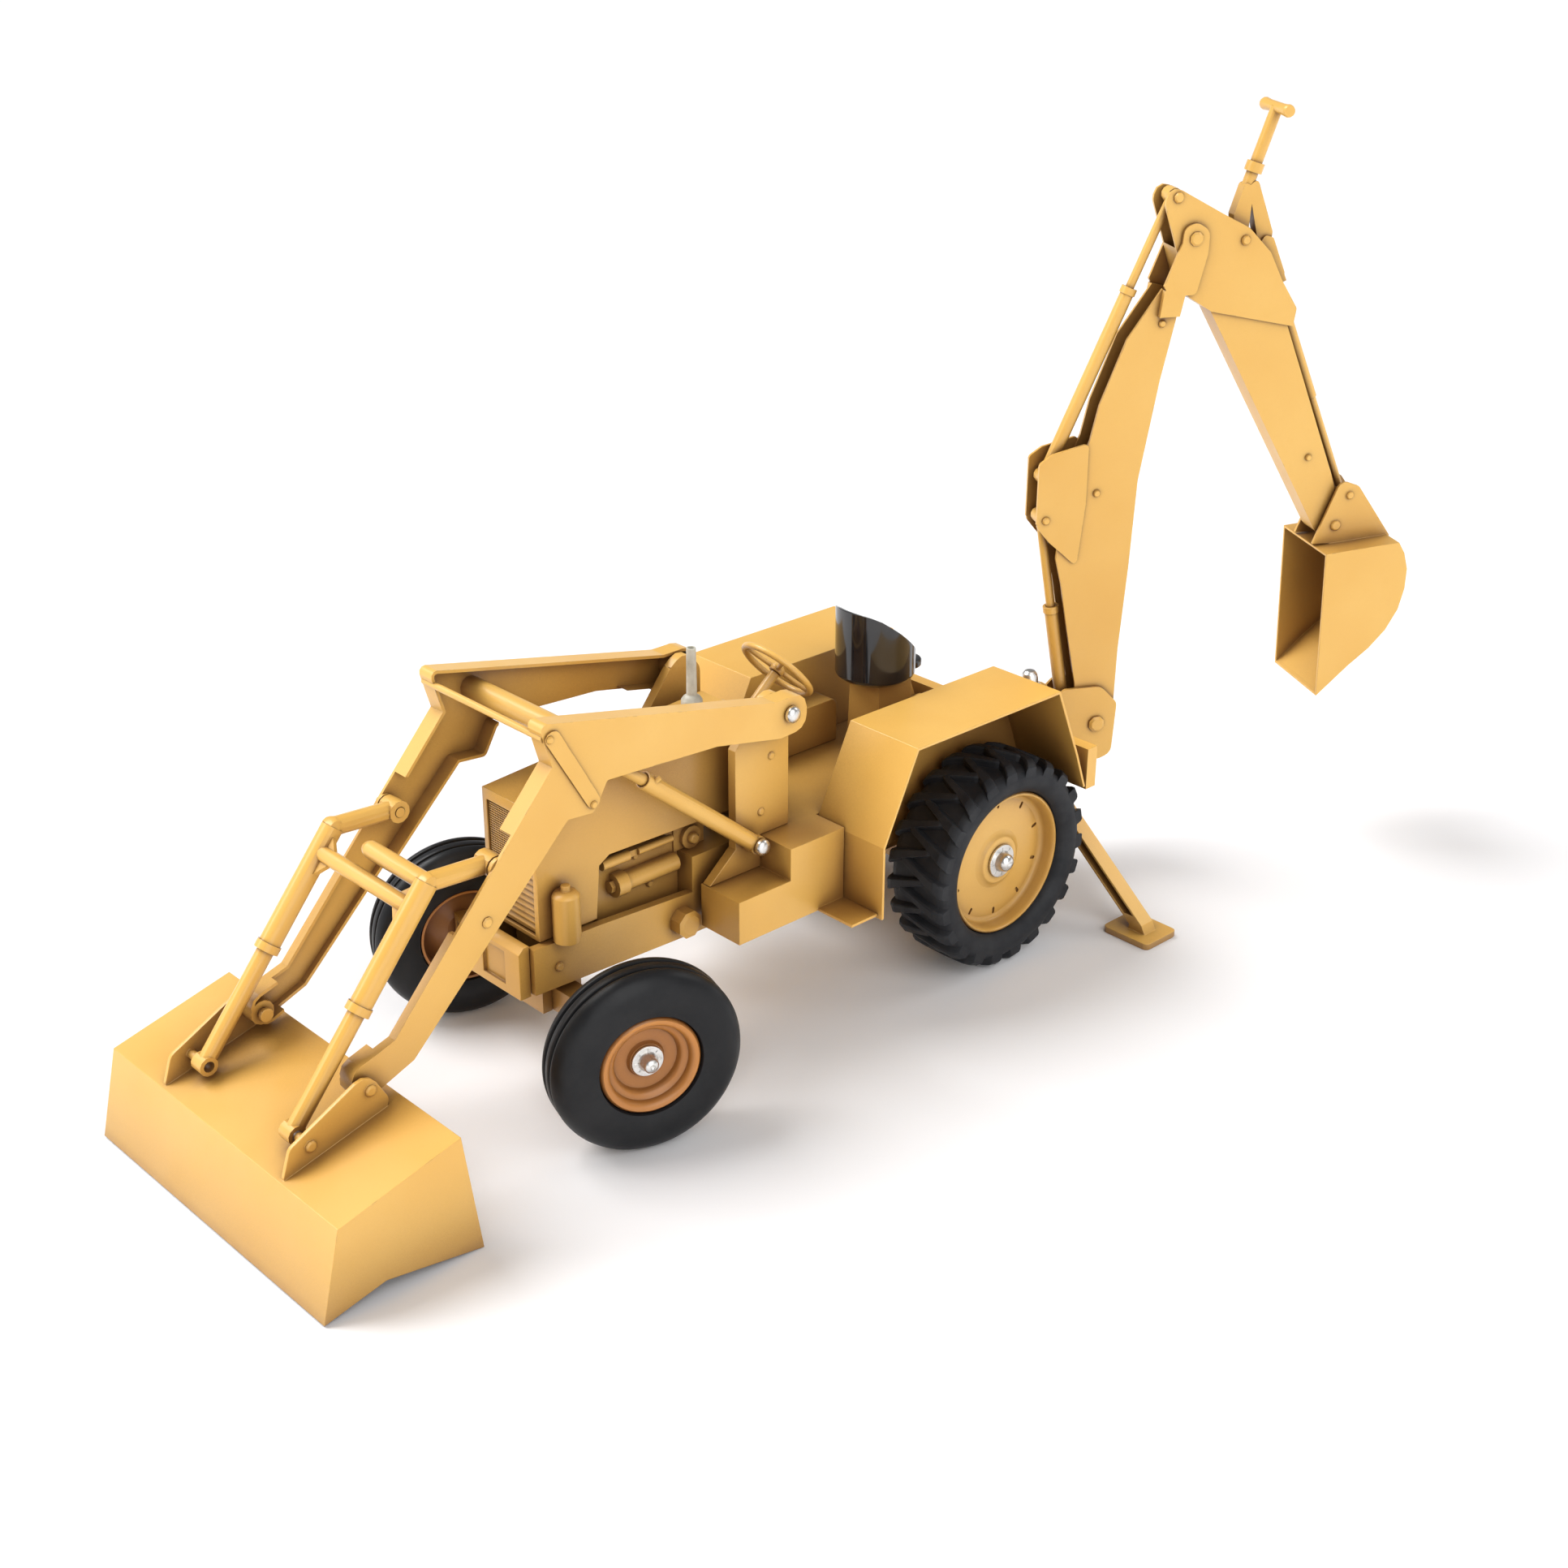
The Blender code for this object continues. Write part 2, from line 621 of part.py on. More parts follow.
def loader_arm(sign):
    """One arm, a channel open inwards, with the bosses that its pins pass through."""
    outer = rounded([
        (-131, 185.2), (-141, 185.2), (-284.7, 216, 3), (-278.1, 193.1), (-371.5, 88.4), (-398, 80, 7),
        (-390, 63.5, 7), (-362.3, 74.4), (-270.5, 164.4), (-255, 163, 3), (-247, 177, 2), (-179.3, 173.3),
        (-137.4, 164.9), (-119.5, 166, 8), (-120.5, 186, 8),
    ])
    below = [(-251.8, 150), (-148, 150), (-148, 168.5), (-180, 175.2), (-246, 178.8)]
    lever_gap = [(-345, 128), (-322, 128), (-300, 166), (-320, 172)]
    lower = [(-330, 150), (-300, 118), (-350, 66), (-377, 61), (-382, 100), (-350, 125)]
    cuts = [prism(shape, 36 * sign, 45.9 * sign) for shape in (inset(outer, SHEET), below, lever_gap)]
    cuts.append(prism(lower, 36 * sign, 42.5 * sign))
    channel = carved([prism(outer, 37.5 * sign, 47.5 * sign)], cuts)
    strap = [(-284.5, 211), (-275, 211), (-251.4, 169), (-256.8, 163.6)]
    adds = [channel, prism(rounded([(u, v, 3.5) for u, v in strap]), 47 * sign, 48.5 * sign)]
    adds.append(cross_rod(BUCKET_PIVOT, (37.5 * sign, 47 * sign), 6.2, 12))
    adds.append(cross_rod(TILT_PIVOT, (44.4 * sign, 46.5 * sign), 5.5, 12))
    adds.append(cross_rod(TILT_PIVOT, (32.6 * sign, 46.5 * sign), 2.5))
    adds.append(cross_rod(LIFT_PIVOT, (38 * sign, 47 * sign), 7.2, 12))
    for rivet in ((-279.5, 207.5), (-256.2, 167.8)):
        adds.append(domed(rivet, (47 * sign, 48.9 * sign), 2.0, 0.7))
    adds.append(domed((-318.4, 128.6), (46 * sign, 48.0 * sign), 2.8, 0.7))
    cuts = [cross_rod(BUCKET_PIVOT, (30 * sign, 50 * sign), 2.5 + GAP)]
    cuts.append(cross_rod(LIFT_PIVOT, (30 * sign, 52 * sign), 3.4 + GAP))
    return carved(adds, cuts)


def loader_arms():
    adds = [loader_arm(1), loader_arm(-1)]
    adds.append(cross_rod((-256, 197.6), (-46.5, 46.5), 5.8, 12))
    adds.append(cross_rod((-281.5, 207.8), (-46.5, 46.5), 1.8, 10))
    return adds, []


def lift_barrel():
    reach = 92.0
    axis = Vector(at_x(LIFT_END, 0)) - Vector(at_x(LIFT_BASE, 0))
    start = at_x(LIFT_BASE, LIFT_X)
    tip = at_x(along(LIFT_BASE, LIFT_END, reach), LIFT_X)
    adds = [rod(start, tip, 4.6, 12), cross_rod(LIFT_BASE, (LIFT_X - 3.6, LIFT_X + 3.6), 5.0, 16)]
    port = along(LIFT_BASE, LIFT_END, reach - 5)
    adds.append(rod(at_x(port, LIFT_X + 2), (LIFT_X + 4.6, port[0] + 3.0, port[1] + 3.7), 1.4, 10))
    bore = [(0, 12), (3.2 + GAP, 12), (3.2 + GAP, reach + 6), (0, reach + 6)]
    cuts = [turned(bore, start, axis, 12), cross_rod(LIFT_BASE, (30, 50), 2.5 + GAP)]
    return adds, cuts


def lift_rod():
    start = along(LIFT_BASE, LIFT_END, 21)
    adds = [rod(at_x(start, LIFT_X), at_x(LIFT_END, LIFT_X), 3.2, 12)]
    adds.append(cross_rod(LIFT_END, (LIFT_X - 3.4, LIFT_X + 3.4), 4.4, 12))
    return adds, [cross_rod(LIFT_END, (30, 50), 1.8)]


def tilt_frame():
    adds = []
    cuts = []
    for sign in (1, -1):
        x = TILT_X * sign
        adds.append(rod(at_x(TILT_PIVOT, x), at_x(TILT_BEND, x), 4.6, 12))
        adds.append(cross_rod(TILT_PIVOT, (33 * sign, 43.4 * sign), 5.6, 12))
        elbow = [(0, -5.2), (4, -3.6), (5.2, 0), (4, 3.6), (0, 5.2)]
        adds.append(turned(elbow, at_x(TILT_BEND, x), (1, 0, 0), 12))
        axis = Vector(at_x(TILT_END, 0)) - Vector(at_x(TILT_BEND, 0))
        adds.append(turned(collared(5.4, TILT_REACH), at_x(TILT_BEND, x), axis, 16))
        bore = [(0, 8), (4.2 + GAP, 8), (4.2 + GAP, 80), (0, 80)]
        cuts.append(turned(bore, at_x(TILT_BEND, x), axis, 12))
        cuts.append(cross_rod(TILT_PIVOT, (28 * sign, 46 * sign), 2.5 + GAP))
    stub = [(0, 0), (4.4, 0), (4.4, 45), (3.2, 48), (0, 49.5)]
    adds.append(turned(stub, at_x(TILT_BEND, 39), (-1, 0, 0), 12))
    adds.append(cross_rod(along(TILT_BEND, TILT_END, TILT_TUBE), (-36, 36), 4.0, 12))
    adds += both(tilt_gusset)
    return adds, cuts


def tilt_gusset():
    """The web between a barrel and the front tube, which it meets on both sides."""
    corners = []
    for reach, x in ((TILT_TUBE - 11, 35), (TILT_TUBE + 13, 35), (TILT_TUBE, 23)):
        y, z = along(TILT_BEND, TILT_END, reach)
        corners.append((x, y - 0.8, z + 0.8))
    low = [(x, y + 1.6, z - 1.6) for x, y, z in corners]
    return loose([*corners, *low], [(0, 1, 2), (3, 4, 5), (0, 1, 4, 3), (1, 2, 5, 4), (2, 0, 3, 5)])


def tilt_rod():
    start = along(TILT_BEND, TILT_END, TILT_REACH - 25)
    adds = [rod(at_x(start, TILT_X), at_x(TILT_END, TILT_X), 4.2, 16)]
    adds.append(cross_rod(TILT_END, (TILT_X - 4.2, TILT_X + 4.2), 4.8, 12))
    return adds, [cross_rod(TILT_END, (20, 60), 2.8)]


def loader_bucket():
    top_front = (-437.6, 45.8)
    top_back = (-373.1, 62.7)
    back_low = (-364.7, 0.0)
    edge = (-448.5, 0.9)
    notch = (-416.1, 8.3)
    closed = [edge, (-448.5, -20), (-364.7, -20), back_low, top_back, top_front]
    inner = inset(closed, 1.9)
    side = [edge, notch, back_low, top_back, top_front]
    adds = [prism(side, -BUCKET_HALF, BUCKET_HALF)]
    cuts = [prism(inner, -BUCKET_HALF + 1.9, BUCKET_HALF - 1.9)]
    plate = rounded([(-437, 44, 2), (-431.5, 60.4, 5), (-389.5, 82, 8), (-379.5, 64, 5), (-383, 56)])
    for sign in (1, -1):
        adds.append(prism(plate, 50.3 * sign, 52.5 * sign))
        adds.append(cross_rod(BUCKET_PIVOT, (35.2 * sign, 51 * sign), 2.5))
        adds.append(cross_rod(TILT_END, (42.7 * sign, 51 * sign), 2.4))
        for pin in (BUCKET_PIVOT, TILT_END):
            adds.append(domed(pin, (52 * sign, 53.4 * sign), 3.0, 0.8))
        adds.append(cross_rod(BUCKET_PIVOT, (33.4 * sign, 35.6 * sign), 3.6))
    return adds, cuts


# ---------------------------------------------------------------- backhoe

def swing_frame():
    cheek = rounded([
        (12.3, 68), (12.3, 103.4), (18, 109.4, 4), (41, 109.4, 8), (51.5, 98, 5), (49.8, 65.8, 6),
        (41.6, 62.5, 6), (26, 66),
    ])
    adds = [rod((0, 0, 67), (0, 0, 103.9), 9, 20)]
    adds.append(box((-10.2, 10.2), (4, 25), (68, 91.5)))
    for sign in (1, -1):
        adds.append(prism(cheek, 8.4 * sign, 10.4 * sign))
        adds.append(domed(BOOM_PIVOT, (9.5 * sign, 11.8 * sign), 5.0, 1.2))
    adds.append(cross_rod(BOOM_PIVOT, (-10, 10), 3.2))
    adds.append(cross_rod(BOOM_BASE, (-9, 9), 2.0))
    return adds, [rod((0, 0, 50), (0, 0, 120), 4.0 + GAP)]


def boom():
    side = rounded([
        (28, 76, 9), (50.3, 76, 9), (50.3, 98), (50.7, 131),
        (53.7, 181), (55.7, 233), (64.6, 290), (74.4, 338),
        (62.1, 341), (43.4, 314), (29.6, 278), (25.2, 258), (12, 225), (8.9, 190), (12.8, 175), (18.6, 144.5),
        (25.1, 112),
    ])
    guard = rounded([
        (2.9, 252, 2), (24.3, 257, 2), (24.6, 222), (21, 185, 2), (3.4, 201), (-3.9, 210, 2), (-4.5, 247, 3),
    ])
    strap = rounded([
        (78.2, 377, 6), (86, 372, 6), (86, 360), (80.5, 337.4, 3), (64.5, 337.4, 3), (61.6, 343), (70.5, 366),
        (71, 374, 5),
    ])
    seat_line = [(60.2, 326), (72, 326), (74.4, 337.8), (62.1, 340.8)]
    adds = [prism(side, -8, 8)]
    cuts = [prism(boom_pocket(), -6.3, 6.3)]
    for sign in (1, -1):
        adds.append(prism(guard, 7.5 * sign, 9.3 * sign))
        adds.append(prism(seat_line, 7 * sign, 11.6 * sign))
        adds.append(prism(strap, 9.8 * sign, 11.6 * sign))
        adds.append(domed((63.3, 322), (7.5 * sign, 9.0 * sign), 2.2, 0.8))
        adds.append(domed((31, 227.5), (7.5 * sign, 9.0 * sign), 2.2, 0.8))
        adds.append(domed(BOOM_END, (9 * sign, 10.2 * sign), 2.4, 0.8))
        adds.append(domed(STICK_PIVOT, (11 * sign, 12.4 * sign), 4.0, 1.0))
        lip = [(-4.5, 212), (-4.5, 246), (-2.7, 246), (-2.7, 212)]
        adds.append(prism(lip, 7.6 * sign, 9.3 * sign))
    adds.append(cross_rod(STICK_PIVOT, (-11, 11), 3.2))
    adds.append(cross_rod(STICK_BASE, (-8.5, 8.5), 2.0))
    cuts.append(cross_rod(BOOM_PIVOT, (-20, 12), 3.2 + GAP))
    return adds, cuts


def boom_pocket():
    return [
        (20, 60), (48.7, 60), (48.7, 98), (49.1, 131),
        (52.1, 181), (54.1, 233), (63, 290), (72, 332), (76, 350),
        (50, 345), (20, 278), (-20, 240), (-20, 150), (10, 112),
    ]


def collared(radius, reach):
    """The profile of a cylinder barrel with a collar at its far end."""
    collar = radius + 0.7
    return [(0, 0), (radius, 0), (radius, reach - 4), (collar, reach - 4), (collar, reach), (0, reach)]


def cylinder_barrel(base, end, reach, radius, bore, eye, pin):
    start = at_x(base, 0)
    axis = Vector(at_x(end, 0)) - Vector(start)
    adds = [turned(collared(radius, reach), start, axis, 16)]
    adds.append(cross_rod(base, (-eye, eye), radius + 0.6, 12))
    hole = [(0, 12), (bore, 12), (bore, reach + 8), (0, reach + 8)]
    return adds, [turned(hole, start, axis, 12), cross_rod(base, (-20, 12), pin)]


def cylinder_rod(base, end, inside, radius, eye, head):
    adds = [rod(at_x(along(base, end, inside), 0), at_x(end, 0), radius, 16)]
    adds.append(cross_rod(end, (-eye, eye), head, 12))
    return adds, [cross_rod(end, (-20, 12), 1.6)]


def stick():
    housing = rounded([
        (61, 398, 6), (94.4, 380), (110.3, 372), (124.3, 358),
        (132.8, 342), (143.3, 326, 3), (142, 316), (91.9, 327),
        (77.1, 336, 3), (67, 365.5), (59.8, 386, 5),
    ])
    lower = rounded([
        (88, 334), (91.9, 327), (159.7, 211), (172, 190, 6), (187.5, 196, 6), (176.9, 227), (139.5, 316),
        (136, 326),
    ])
    room = [
        (50, 380), (60, 410), (94, 396), (128, 372), (150, 340),
        (150, 310), (100, 300), (93.4, 327.9), (80, 337.5),
        (71, 360), (58, 372),
    ]
    channel = [(84, 340), (93.6, 328.4), (161, 213), (167, 203.5), (174, 203), (190, 206), (200, 240), (150, 345)]
    adds = [carved([prism(housing, -9.3, 9.3)], [prism(room, -7.5, 7.5)])]
    adds.append(carved([prism(lower, -7.7, 7.7)], [prism(channel, -5.8, 5.8)]))
    for sign in (1, -1):
        adds.append(cross_rod(REAR_BUCKET_PIVOT, (5 * sign, 9.6 * sign), 5.4, 12))
        adds.append(domed((160.7, 238.5), (7 * sign, 8.6 * sign), 2.0, 0.8))
        adds.append(domed(STICK_END, (8.5 * sign, 10.3 * sign), 3.0, 1.0))
        adds.append(domed(LEVER_PIVOT, (8.5 * sign, 10.3 * sign), 2.8, 1.0))
    cuts = [cross_rod(STICK_PIVOT, (-20, 12), 3.2 + GAP), cross_rod(REAR_BUCKET_PIVOT, (-20, 12), 2.2 + GAP)]
    return adds, cuts


def bucket_lever():
    left = [(105, 362), (112, 362), (113.5, 392), (108.5, 396), (103, 378)]
    right = [(120, 358), (126.5, 358), (127, 368), (115.5, 397), (110.5, 393)]
    adds = []
    for leg in (left, right):
        adds.append(prism(rounded([(*point, 2) for point in leg]), -3.6, 3.6))
    tip = Vector((0, 124.5, 433.6))
    start = Vector((0, 110.4, 390.6))
    adds.append(rod(start, tip, 3.4))
    collar = start.lerp(tip, 0.22)
    adds.append(rod(collar, start.lerp(tip, 0.34), 5.0))
    half = [(3.0, 8), (3.5, 14), (3.0, 15.5), (0, 15.5)]
    grip = [(r, -x) for r, x in reversed(half)] + half
    adds.append(turned(grip, tip, (1, 0, 0), 12))
    adds.append(cross_rod(LEVER_PIVOT, (-7.2, 7.2), 4.4))
    return adds, [cross_rod(LINK_TOP, (-20, 12), 1.5 + GAP)]


def bucket_link():
    adds = []
    cheek = [(118.8, 361.3), (122.2, 366.6), (127.2, 365), (136.5, 344), (131.2, 341.4)]
    for sign in (1, -1):
        adds.append(prism(rounded([(*point, 2) for point in cheek]), 3.9 * sign, 5.2 * sign))
    block = [(128.4, 345.6), (134.2, 348.2), (137.4, 341), (131.6, 338.4)]
    adds.append(prism(block, -5.2, 5.2))
    adds.append(rod(at_x(along(LINK_TOP, LINK_END, 19), 0), at_x(along(LINK_TOP, LINK_END, 98), 0), 2.9))
    adds.append(rod(at_x(along(LINK_TOP, LINK_END, 96), 0), at_x(LINK_END, 0), 2.2))
    adds.append(cross_rod(LINK_TOP, (-5, 5), 1.5))
    adds.append(cross_rod(LINK_END, (-5.2, 5.2), 3.8))
    return adds, [cross_rod(LINK_END, (-20, 12), 1.4)]


def rear_bucket():
    outer = [
        (168.4, 185.5), (171.8, 96.4), (190.5, 113.8), (203, 124),
        (212.5, 134.5), (219.2, 147), (222, 160), (222, 172),
        (219, 182), (214.8, 188.8),
    ]
    hollow = inset(outer, SHEET)
    hollow[0] = (150.0, hollow[0][1] - 1.2)
    hollow[1] = (150.0, 80.0)
    hollow.insert(2, (173.6, 99.2))
    adds = [prism(outer, -REAR_BUCKET_HALF, REAR_BUCKET_HALF)]
    ear = rounded([(167, 186.8), (171, 197, 4), (181.5, 224.5, 5), (193.3, 220, 4), (216.5, 188.5), (216, 184)])
    for sign in (1, -1):
        adds.append(prism(ear, 10 * sign, 12 * sign))
        adds.append(domed(REAR_BUCKET_PIVOT, (11.5 * sign, 13.2 * sign), 3.2, 0.9))
        adds.append(domed(LINK_END, (11.5 * sign, 13.0 * sign), 2.4, 0.8))
    adds.append(cross_rod(REAR_BUCKET_PIVOT, (-11, 11), 2.2))
    return adds, [prism(hollow, -REAR_BUCKET_HALF + SHEET, REAR_BUCKET_HALF - SHEET)]


def stabiliser():
    direction = (Vector(STAB_FOOT) - Vector(STAB_PIVOT)).normalized()
    normal = Vector((-direction.y, direction.x))
    start = Vector(STAB_PIVOT)

    def spot(reach, height):
        point = start + direction * reach + normal * height
        return (point.x, point.y)

    leg = [spot(0, -3.65), spot(103, -3.65), spot(117, -7.5), spot(113, 0), spot(108.4, 3.65), spot(0, 3.65)]
    leg[2] = (108.0, 3.0)
    leg[3] = (121.0, 3.0)
    pocket = [spot(12, -2.2), spot(96, -2.2), spot(101, 2.2), spot(12, 2.2)]
    adds = [prism(leg, STAB_Y[0], STAB_Y[1], "xz")]
    adds.append(rod((32, STAB_Y[0], 75), (32, STAB_Y[1], 75), 5.6, 12))
    pad = rounded([(96.7, 66, 3), (128.65, 66, 3), (128.65, 92.7, 3), (96.7, 92.7, 3)], 3)
    adds.append(prism(pad, 0, 3.9, "xy"))
    cuts = [prism(pocket, STAB_Y[0] - 5, STAB_Y[1] - 1.6, "xz")]
    cuts.append(rod((32, 60, 75), (32, 100, 75), 2.5 + GAP))
    return adds, cuts


# ---------------------------------------------------------------- assembly

def main():
    for old in list(bpy.data.objects):
        bpy.data.objects.remove(old)

    paint = material("paint_yellow", (0.80, 0.43, 0.10), 0.0, 0.36, 0.25)
    rim_paint = material("paint_rim", (0.72, 0.33, 0.06), 0.0, 0.40, 0.2)
    rubber = material("tyre_rubber", (0.022, 0.024, 0.028), 0.0, 0.62)
    chrome = material("silver_pin", (0.72, 0.72, 0.72), 1.0, 0.28)
    black = material("seat_black", (0.012, 0.012, 0.014), 0.0, 0.22)
    grey = material("stack_grey", (0.55, 0.53, 0.44), 0.0, 0.5)

    tractor = Matrix.Translation((0, AXLE_Y, 0))
    backhoe = Matrix.Translation((0, AXLE_Y + SWING_Y, 0)) @ Matrix.Rotation(SWING_ANGLE, 4, "Z")
    root = joint("chassis", (0, 0, 60), tractor)
    static = [
        ("chassis_frame", paint, chassis_frame), ("front_weight", paint, front_weight), ("hood", paint, hood),
        ("grille", paint, grille), ("engine_block", paint, engine_block),
        ("exhaust_stack", grey, exhaust_stack), ("cab_platform", paint, cab_platform), ("dash", paint, dash),
        ("side_console", paint, side_console), ("seat_pedestal", paint, seat_pedestal),
        ("rear_frame", paint, rear_frame), ("swing_pin", chrome, swing_pin),
    ]
    for name, look, make in static:
        node(name, look, root, tractor, *make())
    for side, flip in (("l", False), ("r", True)):
        node("tower_" + side, paint, root, tractor, *tower(), flip=flip)
        node("fender_" + side, paint, root, tractor, *fender(), flip=flip)
        node("lift_pivot_cap_" + side, chrome, root, tractor, *tower_cap(LIFT_PIVOT, (48.4, 49.6), 4.4), flip=flip)
        node("lift_base_cap_" + side, chrome, root, tractor, *tower_cap(LIFT_BASE, (46.9, 48.1), 4.4), flip=flip)

    turn = joint("joint_steering_wheel", (0, -96, 176), tractor, root)
    node("steering_wheel", paint, turn, tractor, *steering_wheel())
    turn = joint("joint_seat", (0, -20, 152), tractor, root)
    node("seat", black, turn, tractor, *seat())

    axle = joint("joint_front_axle", (0, FRONT_Y, 50.5), tractor, root)
    node("front_axle", paint, axle, tractor, *front_axle())
    slide = joint("joint_tie_rod", (0, FRONT_Y, 35.8), tractor, axle)
    node("tie_rod", paint, slide, tractor, *tie_rod())
    for side, sign in (("l", 1), ("r", -1)):
        kingpin = (FRONT_X * sign, FRONT_Y, 0)
        heading = Matrix.Rotation(STEER_ANGLE + (0 if sign > 0 else math.pi), 4, "Z")
        steered = tractor @ Matrix.Translation(kingpin) @ heading
        knuckle_joint = joint("joint_knuckle_" + side, (0, 0, 48.25), steered, axle)
        adds, cuts = knuckle()
        node("knuckle_" + side, paint, knuckle_joint, steered, [*adds, *steer_arm(sign)], cuts)
        wheel = steered @ Matrix.Translation((FRONT_REACH, 0, FRONT_R))
        spin = joint("joint_front_wheel_" + side, (0, 0, 0), wheel, knuckle_joint)
        node("front_rim_" + side, rim_paint, spin, wheel, *front_rim())
        node("front_tyre_" + side, rubber, spin, wheel, *front_tyre())
        node("front_hub_" + side, chrome, spin, wheel, *front_hub())
        hub = joint("joint_rear_wheel_" + side, (65 * sign, 0, REAR_R), tractor, root)
        wheel = tractor @ Matrix.Translation((0, 0, REAR_R))
        node("rear_rim_" + side, paint, hub, wheel, *rear_rim(), flip=sign < 0)
        node("rear_tyre_" + side, rubber, hub, wheel, *rear_tyre(), flip=sign < 0)
        node("rear_nut_" + side, chrome, hub, wheel, *rear_nut(), flip=sign < 0)

    lift = joint("joint_lift", at_x(LIFT_PIVOT, 0), tractor, root)
    node("loader_arms", paint, lift, tractor, *loader_arms())
    barrels = joint("joint_lift_barrels", at_x(LIFT_BASE, 0), tractor, root)
    rods = joint("joint_lift_rods", at_x(LIFT_END, 0), tractor, barrels)
    tilt = joint("joint_tilt_frame", at_x(TILT_PIVOT, 0), tractor, lift)
    node("tilt_frame", paint, tilt, tractor, *tilt_frame())
    tilt_slide = joint("joint_tilt_rods", at_x(TILT_END, 0), tractor, tilt)
    for side, flip in (("l", False), ("r", True)):
        node("lift_barrel_" + side, paint, barrels, tractor, *lift_barrel(), flip=flip)
        node("lift_rod_" + side, paint, rods, tractor, *lift_rod(), flip=flip)
        node("tilt_rod_" + side, paint, tilt_slide, tractor, *tilt_rod(), flip=flip)
    dump = joint("joint_loader_bucket", at_x(BUCKET_PIVOT, 0), tractor, lift)
    node("loader_bucket", paint, dump, tractor, *loader_bucket())

    swing = joint("joint_swing", (0, 0, 86), backhoe, root)
    node("swing_frame", paint, swing, backhoe, *swing_frame())
    raise_boom = joint("joint_boom", at_x(BOOM_PIVOT, 0), backhoe, swing)
    node("boom", paint, raise_boom, backhoe, *boom())
    turn = joint("joint_boom_barrel", at_x(BOOM_BASE, 0), backhoe, swing)
    node("boom_barrel", paint, turn, backhoe, *cylinder_barrel(BOOM_BASE, BOOM_END, 62, 4.0, 2.9, 5.0, 2.3))
    slide = joint("joint_boom_rod", at_x(BOOM_END, 0), backhoe, turn)
    node("boom_rod", paint, slide, backhoe, *cylinder_rod(BOOM_BASE, BOOM_END, 22, 2.6, 4.4, 4.2))
    crowd = joint("joint_stick", at_x(STICK_PIVOT, 0), backhoe, raise_boom)
    node("stick", paint, crowd, backhoe, *stick())
    turn = joint("joint_stick_barrel", at_x(STICK_BASE, 0), backhoe, raise_boom)
    node("stick_barrel", paint, turn, backhoe, *cylinder_barrel(STICK_BASE, STICK_END, 113, 3.8, 2.7, 5.0, 2.3))
    slide = joint("joint_stick_rod", at_x(STICK_END, 0), backhoe, turn)
    node("stick_rod", paint, slide, backhoe, *cylinder_rod(STICK_BASE, STICK_END, 50, 2.4, 4.4, 4.4))
    handle = joint("joint_bucket_lever", at_x(LEVER_PIVOT, 0), backhoe, crowd)
    node("bucket_lever", paint, handle, backhoe, *bucket_lever())
    turn = joint("joint_bucket_link", at_x(LINK_TOP, 0), backhoe, handle)
    node("bucket_link", paint, turn, backhoe, *bucket_link())
    curl = joint("joint_rear_bucket", at_x(REAR_BUCKET_PIVOT, 0), backhoe, crowd)
    node("rear_bucket", paint, curl, backhoe, *rear_bucket())

    for side, sign in (("l", 1), ("r", -1)):
        fold = joint("joint_stabiliser_" + side, (STAB_PIVOT[0] * sign, 79, STAB_PIVOT[1]), tractor, root)
        node("stabiliser_" + side, paint, fold, tractor, *stabiliser(), flip=sign < 0)


main()
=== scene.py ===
"""Looks of a pressed-steel toy backhoe loader: fine versions of its CAD pieces, enamel, rubber and light.

Shapes are written in millimetres in the tractor's own axes: x to its left, y to its back from the
rear axle, z up from the floor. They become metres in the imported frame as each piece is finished.
"""

import json
import math

import bmesh
import bpy
from mathutils import Matrix, Vector

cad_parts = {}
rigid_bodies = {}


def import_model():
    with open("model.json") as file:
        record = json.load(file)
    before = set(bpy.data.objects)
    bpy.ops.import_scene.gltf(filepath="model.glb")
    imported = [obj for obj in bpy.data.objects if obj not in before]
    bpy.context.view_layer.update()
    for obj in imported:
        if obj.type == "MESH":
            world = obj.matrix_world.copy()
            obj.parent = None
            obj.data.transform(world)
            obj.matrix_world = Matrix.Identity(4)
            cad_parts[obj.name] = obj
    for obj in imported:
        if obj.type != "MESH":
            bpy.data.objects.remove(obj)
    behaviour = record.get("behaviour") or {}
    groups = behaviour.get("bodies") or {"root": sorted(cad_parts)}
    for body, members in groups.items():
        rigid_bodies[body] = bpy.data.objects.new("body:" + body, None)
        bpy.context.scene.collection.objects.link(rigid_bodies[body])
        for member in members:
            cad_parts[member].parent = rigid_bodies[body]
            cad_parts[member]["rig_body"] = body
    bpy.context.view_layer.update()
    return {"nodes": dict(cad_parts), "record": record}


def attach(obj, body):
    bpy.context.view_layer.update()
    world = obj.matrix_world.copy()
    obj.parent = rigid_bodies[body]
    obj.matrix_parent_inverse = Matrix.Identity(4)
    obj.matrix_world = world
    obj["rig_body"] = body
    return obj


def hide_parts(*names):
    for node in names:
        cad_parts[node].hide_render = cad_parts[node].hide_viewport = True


MM = 0.001
AXLE_Y = 67.3
REAR_R = 60.0
FRONT_R = 48.25
TRACTOR = Matrix.Translation((0, AXLE_Y, 0))

# An edge is real when it bends more than ROUND_ANGLE, or more than FLAT_ANGLE between wide faces.
BEVEL = 0.32
BEVEL_SHARES = (1.0, 0.6, 0.35, 0.0)
FLAT_ANGLE = math.radians(5)
ROUND_ANGLE = math.radians(46)
ROUND_WIDTH = 5.0
MERGED_ANGLE = math.radians(0.5)
WELD = 0.002
FOLDED_LEAN = -0.05
FOLD_AREA = 3.0
FINE = 96

